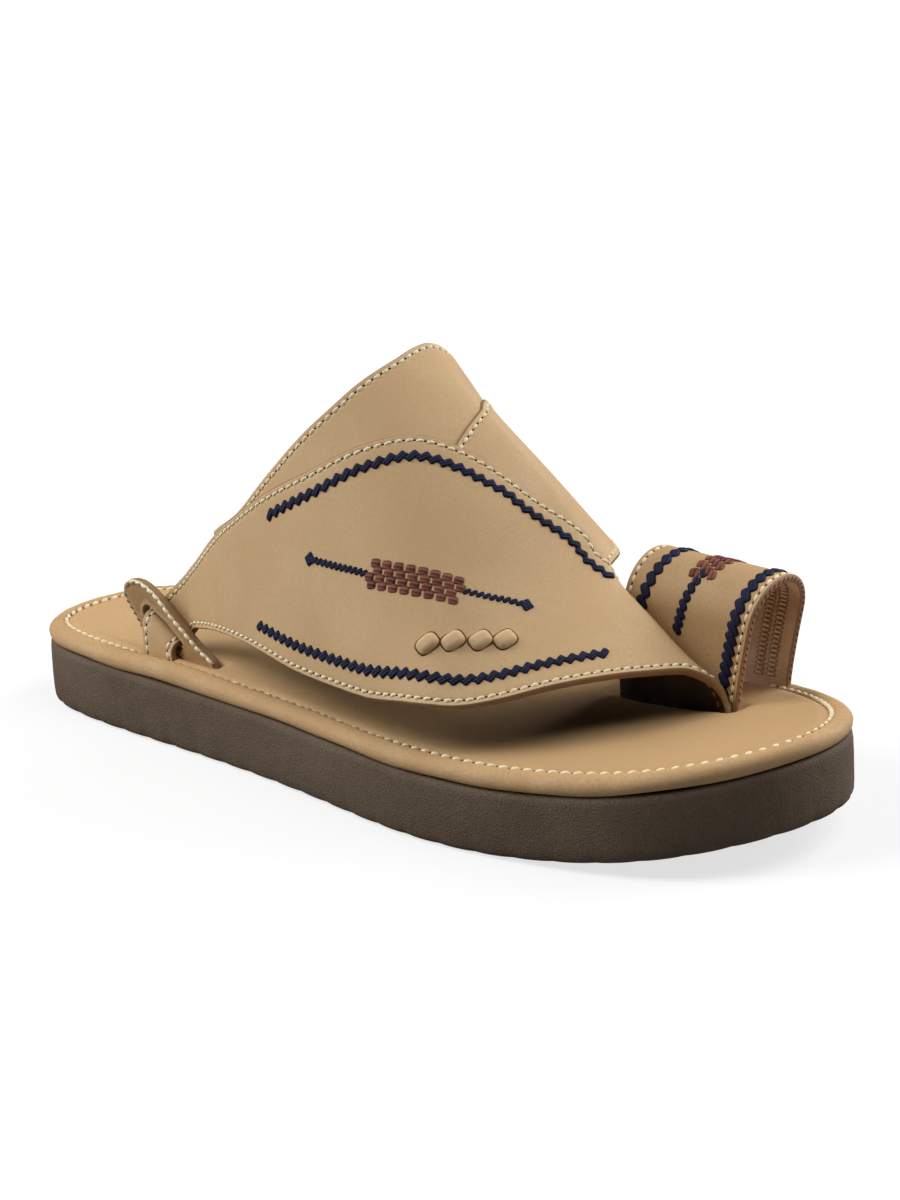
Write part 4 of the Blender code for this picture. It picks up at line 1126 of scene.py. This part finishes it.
def make_upper():
    """Rear panel, medial leaf and lateral leaf, each leaf with its ear strap, and their seams. The
    lateral leaf's last rows go straight down into the toe slit. Gives its cut sheet, its first row
    after the strap, and its rows' shares of the leaf's length."""
    panel, _ = panel_grid(instep, REAR_BACK, REAR_FRONT, REAR_LEVEL,
                          np.linspace(0, 1, REAR_ROWS), REAR_COLUMNS)
    rear = cut_sheet(panel, REAR_WALL, FOOT_MIDDLE, seed=4.0)
    leaf, across = panel_grid(instep, MEDIAL_REAR, MEDIAL_FRONT, MEDIAL_LEVEL,
                              np.linspace(0, 1, MEDIAL_ROWS), MEDIAL_COLUMNS)
    medial = cut_sheet(np.concatenate([strap_grid(-1, leaf, across), leaf]), MEDIAL_WALL,
                       FOOT_MIDDLE, seed=2.0)
    share = np.concatenate([np.linspace(0, LATERAL_CLOSE_ROWS, LATERAL_ROWS[0]),
                            np.linspace(LATERAL_CLOSE_ROWS, 1, LATERAL_ROWS[1])[1:]])
    leaf, across = panel_grid(folded_instep, LATERAL_TOP, LATERAL_LOW, LATERAL_LEVEL, share,
                              LATERAL_COLUMNS)
    strap = strap_grid(1, leaf, across)
    y = leaf[-1][:, 1]
    top, foot = block_top(y) + PAD_HEIGHT + FOLD_RISE, block_top(y) + FOOT_GAP
    down = np.linspace(0, 1, SLIT_ROWS)[:, None]
    slit = np.stack(np.broadcast_arrays(FOLD_X, y, top * (1 - down) + foot * down), -1)
    lateral = cut_sheet(np.concatenate([strap, leaf[:-1], slit]), LATERAL_WALL, FOOT_MIDDLE)
    for name, cut in (("rear_panel", rear), ("medial_leaf", medial), ("lateral_leaf", lateral)):
        piece = leather_piece(name, cut, [TAN, RAW_EDGE, LINING])
        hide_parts("upper")
    end = len(lateral.face) - SLIT_ROWS + 1
    seams = ((lateral, False, slice(4, end)), (lateral, True, slice(4, end)),
             (medial, False, slice(4, -1)), (medial, True, slice(4, -1)),
             (rear, False, slice(None)))
    sewn("upper", CREAM, [line_inside(cut, SEAM_INSET, far, rows) for cut, far, rows in seams])
    inside = SimpleNamespace(far=lateral.far, normal=-lateral.normal,
                             face=lateral.middle - lateral.normal * LATERAL_WALL / 2)
    fold = line_inside(inside, FOLD_INSET, far=True, rows=slice(len(strap) + 190, end))
    shaped_copies("fold_inner_stitches", FOLD_THREAD, BEAD, [evenly(*fold, SEAM_PITCH)],
                  FOLD_UNIT)
    return lateral, len(strap), share


def leaf_spot(place):
    """Points and normals on the lateral leaf's outer face at places given as y and angle."""
    return off(folded_instep, np.asarray(place, float), LATERAL_LEVEL + LATERAL_WALL / 2)


def dropped(points, start):
    """Points near the lateral leaf brought onto its outer face: five short tangent moves from the
    place start."""
    place = np.repeat(np.array([start], float), len(points), axis=0)
    height = LATERAL_LEVEL + LATERAL_WALL / 2
    for _ in range(5):
        place = moved(folded_instep, place, height, points - leaf_spot(place)[0])
    return leaf_spot(place)


def checker(columns):
    """Centres of the checker's blocks, along and across its middle: rows one over the other,
    every other row half a step on."""
    row, column = np.divmod(np.arange(CHECKER_ROWS * columns), columns)
    up = row - (CHECKER_ROWS - 1) / 2
    along = (column - (columns - 1) / 2 - 0.5 * (row % 2) + 0.25) * CHECKER_STEP[0]
    return along + up * CHECKER_SKEW, up * CHECKER_STEP[1]


def diamond_knot(point, normal, tangent):
    """Diamond at the end of a line: a middle unit with one on each of its four sides."""
    steps = np.array(KNOT_STEPS)[..., None]
    centres = point + tangent * steps[:, 0] + np.cross(normal, tangent) * steps[:, 1]
    return centres, np.tile(normal, (len(steps), 1)), np.tile(tangent, (len(steps), 1))


def make_embroidery(lateral, first, share):
    """The lateral leaf's ornament: a navy band inside each edge, a thin line with a diamond at
    each end that runs into a brown checker, and a row of padded lozenges before the toe, each in a
    ring of painted shade."""
    def rows(start, end):
        return slice(first + np.argmax(share >= start), first + np.flatnonzero(share <= end)[-1])

    step = np.linspace(0, 1, 60)
    rule = line_inside(lateral, UPPER_BAND_INSET, rows=rows(*UPPER_BAND_RUN))
    before = rule[0][:, 1] < BAND_TAIL_FROM
    tail = leaf_spot(pchip(step, BAND_TAIL))
    upper_line = [np.concatenate([part[before], end]) for part, end in zip(rule, tail)]
    lower_line = line_inside(lateral, LOWER_BAND_INSET, far=True, rows=rows(*LOWER_BAND_RUN))
    units, between = seam([upper_line, lower_line], BAND_PITCH)
    shaped_copies("navy_bands", NAVY, BAND_BLOCK, units, BAND_UNIT, tilt=BAND_TILT)
    shaped_copies("navy_band_fills", NAVY, BAND_BLOCK, between, BAND_FILL, tilt=BAND_TILT)

    lines = [evenly(*leaf_spot(pchip(step, table)), LINE_PITCH)
             for table in (REAR_LINE, FRONT_LINE)]
    shaped_copies("navy_lines", NAVY, LINE_BLOCK, lines, LINE_UNIT, tilt=LINE_TILT)
    knots = [diamond_knot(*[part[end] for part in line]) for line, end in zip(lines, (0, -1))]
    shaped_copies("navy_diamonds", NAVY, SMALL_DIAMOND, knots, KNOT_UNIT)

    (centre, ahead), normals = leaf_spot([CHECKER_PLACE, CHECKER_AHEAD])
    tangent = flattened(ahead - centre, normals[0])
    along, aside = checker(CHECKER_COLUMNS)
    wanted = centre + along[:, None] * tangent + aside[:, None] * np.cross(normals[0], tangent)
    point, normals = dropped(wanted, CHECKER_PLACE)
    shaped_copies("brown_checker", BROWN, CHECKER_BLOCK,
                  [(point, normals, flattened(tangent, normals))], CHECKER_UNIT,
                  tilt=CHECKER_TILT)

    point, normals = leaf_spot(LOZENGE_PLACES)
    lozenges = [(point, normals, flattened(np.gradient(point, axis=0), normals))]
    length, width, _ = LOZENGE_UNIT
    shaped_copies("leather_lozenges", TAN, LOZENGE, lozenges, LOZENGE_UNIT, tilt=LOZENGE_TURN,
                  lift_by=LOZENGE_LIFT)
    # Painted shade: a dark flat ring just wider than each lozenge, for the shade in its crease.
    shaped_copies("lozenge_crease_shades", CREASE_SHADE, LOZENGE_FOOT, lozenges,
                  (length + CREASE_SHADE_WIDTH, width + CREASE_SHADE_WIDTH, CREASE_SHADE_HEIGHT),
                  tilt=LOZENGE_TURN, lift_by=CREASE_SHADE_LIFT)


# ---------------------------------------------------------------- toe loop


def loop_middle(around, across):
    """Middle of the toe loop's wall at steps round it (0 to 1) and shares of its width: two
    upright flanks joined by a half circle, leaning forwards with height."""
    inner_x = LOOP_INNER_REAR_X + (LOOP_INNER_FRONT_X - LOOP_INNER_REAR_X) * across
    middle, half = (LOOP_OUTER_X + inner_x) / 2, (LOOP_OUTER_X - inner_x) / 2
    spring = LOOP_TOP_Z - LOOP_TOP_FALL * across - half
    base_y = LOOP_REAR_Y + (LOOP_FRONT_Y - LOOP_REAR_Y) * across
    foot = block_top(base_y) + FOOT_GAP
    flank, turn = spring - foot, math.pi * half
    way = around * (2 * flank + turn)
    angle = np.clip((way - flank) / turn, 0, 1) * math.pi
    x = middle + half * np.cos(angle)
    down = np.maximum(way - flank - turn, 0)
    z = np.where(way < flank, foot + way, spring + half * np.sin(angle) - down)
    bed = block_top(base_y) + PAD_HEIGHT
    height = np.clip((z - bed) / (LOOP_TOP_Z - bed), 0, 1)
    lean = LOOP_REAR_LEAN * (1 - across) + LOOP_FRONT_LEAN * across
    return np.stack([x, base_y + lean * height ** LOOP_LEAN_POWER, z], -1)


def make_loop():
    """Toe loop: one lined band over the big toe, its feet in the footbed's slits."""
    around = np.linspace(0, 1, LOOP_ROWS)[:, None]
    edges = loop_middle(around, np.array([[0.0, 1.0]]))
    width = np.linalg.norm(edges[:, 1] - edges[:, 0], axis=1)
    middle = loop_middle(around, edge_distances(width, LOOP_MIDDLE_COLUMNS) / width[:, None])
    cut = cut_sheet(middle, LOOP_WALL, LOOP_INSIDE, seed=6.0)
    wrinkles = ripple(cut.run[:, None] * 2.0, cut.near * 0.5, 1.5, 2.0)
    # Painted shade: the band's outer face uses the darker copy of the tan.
    piece = leather_piece("toe_loop_band", cut, [LOOP_TAN_SHADED, LOOP_EDGE, LOOP_LINING],
                          WRINKLE_HEIGHT * wrinkles * smooth_step(cut.edge, 1.5, 4))
    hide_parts("toe_loop")
    sewn("toe_loop", CREAM,
         [line_inside(cut, SEAM_INSET, far, LOOP_SHOWN) for far in (False, True)])
    embroider_loop(cut)
    sew_lining(cut)
    out = unit(cut.middle[:, -1] - cut.middle[:, -2])
    edge = cut.middle[:, -1] + out * (cut.lip - 0.05)
    shaped_copies("toe_loop_edge_stitches", DARK_THREAD, BEAD,
                  [evenly(edge[LOOP_SHOWN], out[LOOP_SHOWN], LOOP_EDGE_PITCH)],
                  LOOP_EDGE_UNIT, tilt=LOOP_EDGE_TILT)


def from_front(cut, run, inset):
    """Distances from a sheet's near edge of places that lie inset mm from its far one."""
    return np.interp(run, cut.run, cut.near[:, -1] + cut.lip) - inset


def embroider_loop(cut):
    """The loop's ornament: a navy band along each edge, the rear one bowed away from it at the
    top, and a thin line from each foot to a brown checker on top."""
    long = cut.run[-1]
    reach = np.arange(10.0, long - 10, LOOP_BAND_PITCH)
    front = on_sheet(cut, reach, from_front(cut, reach, LOOP_FRONT_BAND))
    reach = np.arange(12.0, long - 12, LOOP_BAND_PITCH)
    bow = LOOP_REAR_BOW * smooth_step(np.abs(reach - long / 2), 24, 2)
    rear = on_sheet(cut, reach, LOOP_REAR_BAND + bow)
    shaped_copies("toe_loop_navy_bands", NAVY, LINE_BLOCK, [front, rear], LOOP_BAND_UNIT,
                  tilt=LOOP_TILT)
    reach = np.arange(*LOOP_LINE, LOOP_LINE_PITCH)
    rise = np.interp(reach, LOOP_LINE, LOOP_LINE_INSET)
    thin = [on_sheet(cut, reach, rise), on_sheet(cut, long - reach[::-1], rise[::-1])]
    shaped_copies("toe_loop_navy_lines", NAVY, LOOP_LINE_BLOCK, thin, LOOP_LINE_UNIT,
                  tilt=LINE_TILT)
    along, aside = checker(LOOP_COLUMNS)
    top = on_sheet(cut, long / 2 + along, LOOP_LINE_INSET[1] + aside)
    shaped_copies("toe_loop_brown_checker", BROWN, CHECKER_BLOCK, [top], LOOP_CHECKER_UNIT,
                  tilt=LOOP_CHECKER_TILT)


def sew_lining(cut):
    """Two rows of stitches across the lining, each on a darker disc of the edge leather: painted
    shade of its dent.
    """
    at = np.arange(8.0, cut.run[-1] - 8, LINING_PITCH)
    rungs = []
    for inset in LINING_INSETS:
        point, normal, tangent = on_sheet(cut, at, from_front(cut, at, inset), under=True)
        rungs.append((point, normal, np.cross(normal, tangent)))
    # Painted shade: the dents are flat discs of the darker edge leather.
    for name, material, shape, half in (
            ("toe_loop_lining_stitches", LINING_THREAD, BEAD, LINING_STITCH_UNIT),
            ("toe_loop_lining_dent_shades", LOOP_EDGE, HOLE_DISC, LINING_DENT_UNIT)):
        shaped_copies(name, material, shape, rungs, half, tilt=LINING_TILT, lift_by=LINING_LIFT)


# ---------------------------------------------------------------- ears


def slot_ring(theta):
    """Slot outline at angles round it, measured with the slot's length and height scaled to one:
    a stadium of straight sides and half-round ends."""
    half, radius = SLOT_LENGTH / 2 - SLOT_HEIGHT / 2, SLOT_HEIGHT / 2
    turn = np.radians(np.linspace(-90, 90, 60))
    front = np.column_stack([half + radius * np.cos(turn), radius * np.sin(turn)])
    line = np.concatenate([front, -front, front[:1]])
    dense = np.concatenate([line[:-1] + (line[1:] - line[:-1]) * t
                            for t in np.linspace(0, 1, 12)[:-1]])
    angle = np.arctan2(dense[:, 1] / SLOT_HEIGHT, dense[:, 0] / SLOT_LENGTH)
    order = np.argsort(angle)
    return interpolated(theta, angle[order], dense[order], period=2 * math.pi)


EAR_SEAMS = (
    # name, thread, inset, first and last row, pitch, unit, tilt
    ("_edge_thread", CREAM, 0.8, 62, 166, 2.5, (1.6, 0.56, 0.62), 0.12),
    ("_rear_stitches", DARK_THREAD, 0.9, 16, 58, 1.9, (0.75, 0.27, 0.24), 0.6),
)


def make_ear(name, node, side):
    """Slotted ear: the sheet between its outline and its slot, with softened edges. Its outline is
    a natural spline through the table's rows, closed by a straight foot, and each of its points
    has a partner on the slot at the same angle."""
    outline = curve(np.linspace(0, 1, 400), EAR_EDGE)
    back = np.linspace(0, 1, 80)[1:, None]
    outline = np.concatenate([outline, outline[-1] * (1 - back) + outline[0] * back])
    run = distances(outline)
    outline = interpolated(np.linspace(0, run[-1], EAR_ROWS + 1)[:-1], run, outline)
    cos, sin = math.cos(SLOT_SLOPE), math.sin(SLOT_SLOPE)
    turn = np.array([[cos, sin], [-sin, cos]])
    local = (outline - SLOT_MIDDLE) @ turn.T
    theta = np.arctan2(local[:, 1] / SLOT_HEIGHT, local[:, 0] / SLOT_LENGTH)
    slot = slot_ring(theta) @ turn + SLOT_MIDDLE
    width = np.linalg.norm(outline - slot, axis=1)[:, None]
    share = 0.5 - 0.5 * np.cos(math.pi * np.linspace(0, 1, EAR_COLUMNS))
    across = ((EAR_LIP + (width - 2 * EAR_LIP) * share) / width)[..., None]
    plan = outline[:, None] * (1 - across) + slot[:, None] * across
    x = np.full((*plan.shape[:2], 1), on_side(EAR_X, side))
    cut = cut_sheet(np.concatenate([x, plan], -1), EAR_WALL, EAR_INSIDE, lip=EAR_LIP, ring=True,
                    uneven=0.08, seed=3.0)
    # The ear's faces get the darker ear leather, partly painted shade.
    piece = leather_piece(name, cut, [EAR_LEATHER_AND_SHADE, RAW_EDGE, EAR_LEATHER_AND_SHADE])
    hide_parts(node)
    for ending, thread, inset, first, last, pitch, half, tilt in EAR_SEAMS:
        line = evenly(*line_inside(cut, inset, rows=slice(first, last)), pitch)
        shaped_copies(name + ending, thread, BEAD, [line], half, tilt=tilt)


# ---------------------------------------------------------------- assembly

make_outsole()
make_footbed()
make_embroidery(*make_upper())
make_loop()
make_ear("outer_ear_plate", "ear_lateral", 1)
make_ear("inner_ear_plate", "ear_medial", -1)

# ---------------------------------------------------------------- floor, light and camera

WHITE = (1.0, 1.0, 1.0, 1.0)
FLOOR_GLOW = 0.72   # near the sandal, of the white that the floor fades to
FLOOR_FADES = (0.3, 1.1)  # between these distances from the sandal's middle, in metres
AMBIENT = 0.01      # of the white that the camera sees round the floor
LIGHT_SIZE = 0.8
LIGHTS_AIM = np.array([0.0, 0.0, 0.04])
SOFTBOXES = (
    # name, place in metres, power in watts
    ("outer_rear_softbox", (0.798, -1.139, 0.602), 8.9),
    ("outer_high_softbox", (0.704, -0.6, 1.22), 12.8),
    ("inner_front_softbox", (-1.114, 0.78, 0.674), 7.4),
    ("inner_rear_softbox", (-1.339, 0.236, 0.674), 7.8),
    ("inner_high_softbox", (-0.739, 0.62, 1.189), 4.7),
    ("toe_high_softbox", (0.0, 0.704, 1.364), 5.2),
)

scene = bpy.context.scene
scene.view_settings.view_transform = "Standard"


def linked(name, data):
    """New object of a mesh, light or camera, in the scene."""
    thing = bpy.data.objects.new(name, data)
    scene.collection.objects.link(thing)
    return thing


def make_floor(size, z):
    """Flat square floor of pale paper, which glows for the camera alone and fades to white away
    from the sandal."""
    paper, n, shader, place = new_material("floor_paper", (0.3, 0.3, 0.3, 1.0), 0.9, 0.0)
    away = n.add("ShaderNodeVectorMath", {"operation": "LENGTH"}, i0=place["Object"])
    fade = n.between(away.outputs["Value"], *FLOOR_FADES, FLOOR_GLOW, 1.0)
    seen = n.add("ShaderNodeLightPath").outputs["Is Camera Ray"]
    n.feed(shader, Emission_Color=WHITE, Emission_Strength=n.maths("MULTIPLY", fade, seen))
    mesh = bpy.data.meshes.new("floor")
    corners = [(x * size, y * size, z) for x, y in ((-1, -1), (1, -1), (1, 1), (-1, 1))]
    mesh.from_pydata(corners, [], [(0, 1, 2, 3)])
    mesh.materials.append(paper)
    return linked("floor", mesh)


def softbox(name, location, power):
    """Square area light that faces the sandal: its back points away from the aim, and its upper
    edge is level."""
    light = bpy.data.lights.new(name, "AREA")
    light.size = LIGHT_SIZE
    light.energy = power
    back = unit(np.array(location) - LIGHTS_AIM)
    right = unit(np.cross([0, 0, 1.0], back))
    turn = np.column_stack([right, np.cross(back, right), back, location])
    linked(name, light).matrix_world = Matrix([*turn.tolist(), (0, 0, 0, 1)])


def make_world():
    """Pale surround: white to the camera, and a dim even light on the sandal."""
    world = bpy.data.worlds.new("studio")
    world.use_nodes = True
    n = Nodes(world.node_tree)
    dim = n.feed(world.node_tree.nodes["Background"], Color=WHITE, Strength=AMBIENT)
    white = n.add("ShaderNodeBackground", Color=WHITE, Strength=1.0)
    seen = n.add("ShaderNodeLightPath").outputs["Is Camera Ray"]
    both = n.add("ShaderNodeMixShader", i0=seen, i1=dim.outputs[0], i2=white.outputs[0])
    n.feed(world.node_tree.nodes["World Output"], Surface=both.outputs[0])
    return world


floor = make_floor(2.5, -0.0002)
for box in SOFTBOXES:
    softbox(*box)
scene.world = make_world()

camera_data = bpy.data.cameras.new("camera")
camera_data.lens, camera_data.sensor_width = 90.03, 36.0
camera_data.clip_start, camera_data.clip_end = 0.01, 50.0
camera = linked("camera", camera_data)
camera.matrix_world = Matrix((
    (-0.6807, -0.2394, 0.6923, 0.57576),
    (0.7305, -0.1505, 0.6662, 0.56786),
    (-0.0553, 0.9592, 0.2773, 0.27833),
    (0.0, 0.0, 0.0, 1.0),
))
scene.camera = camera
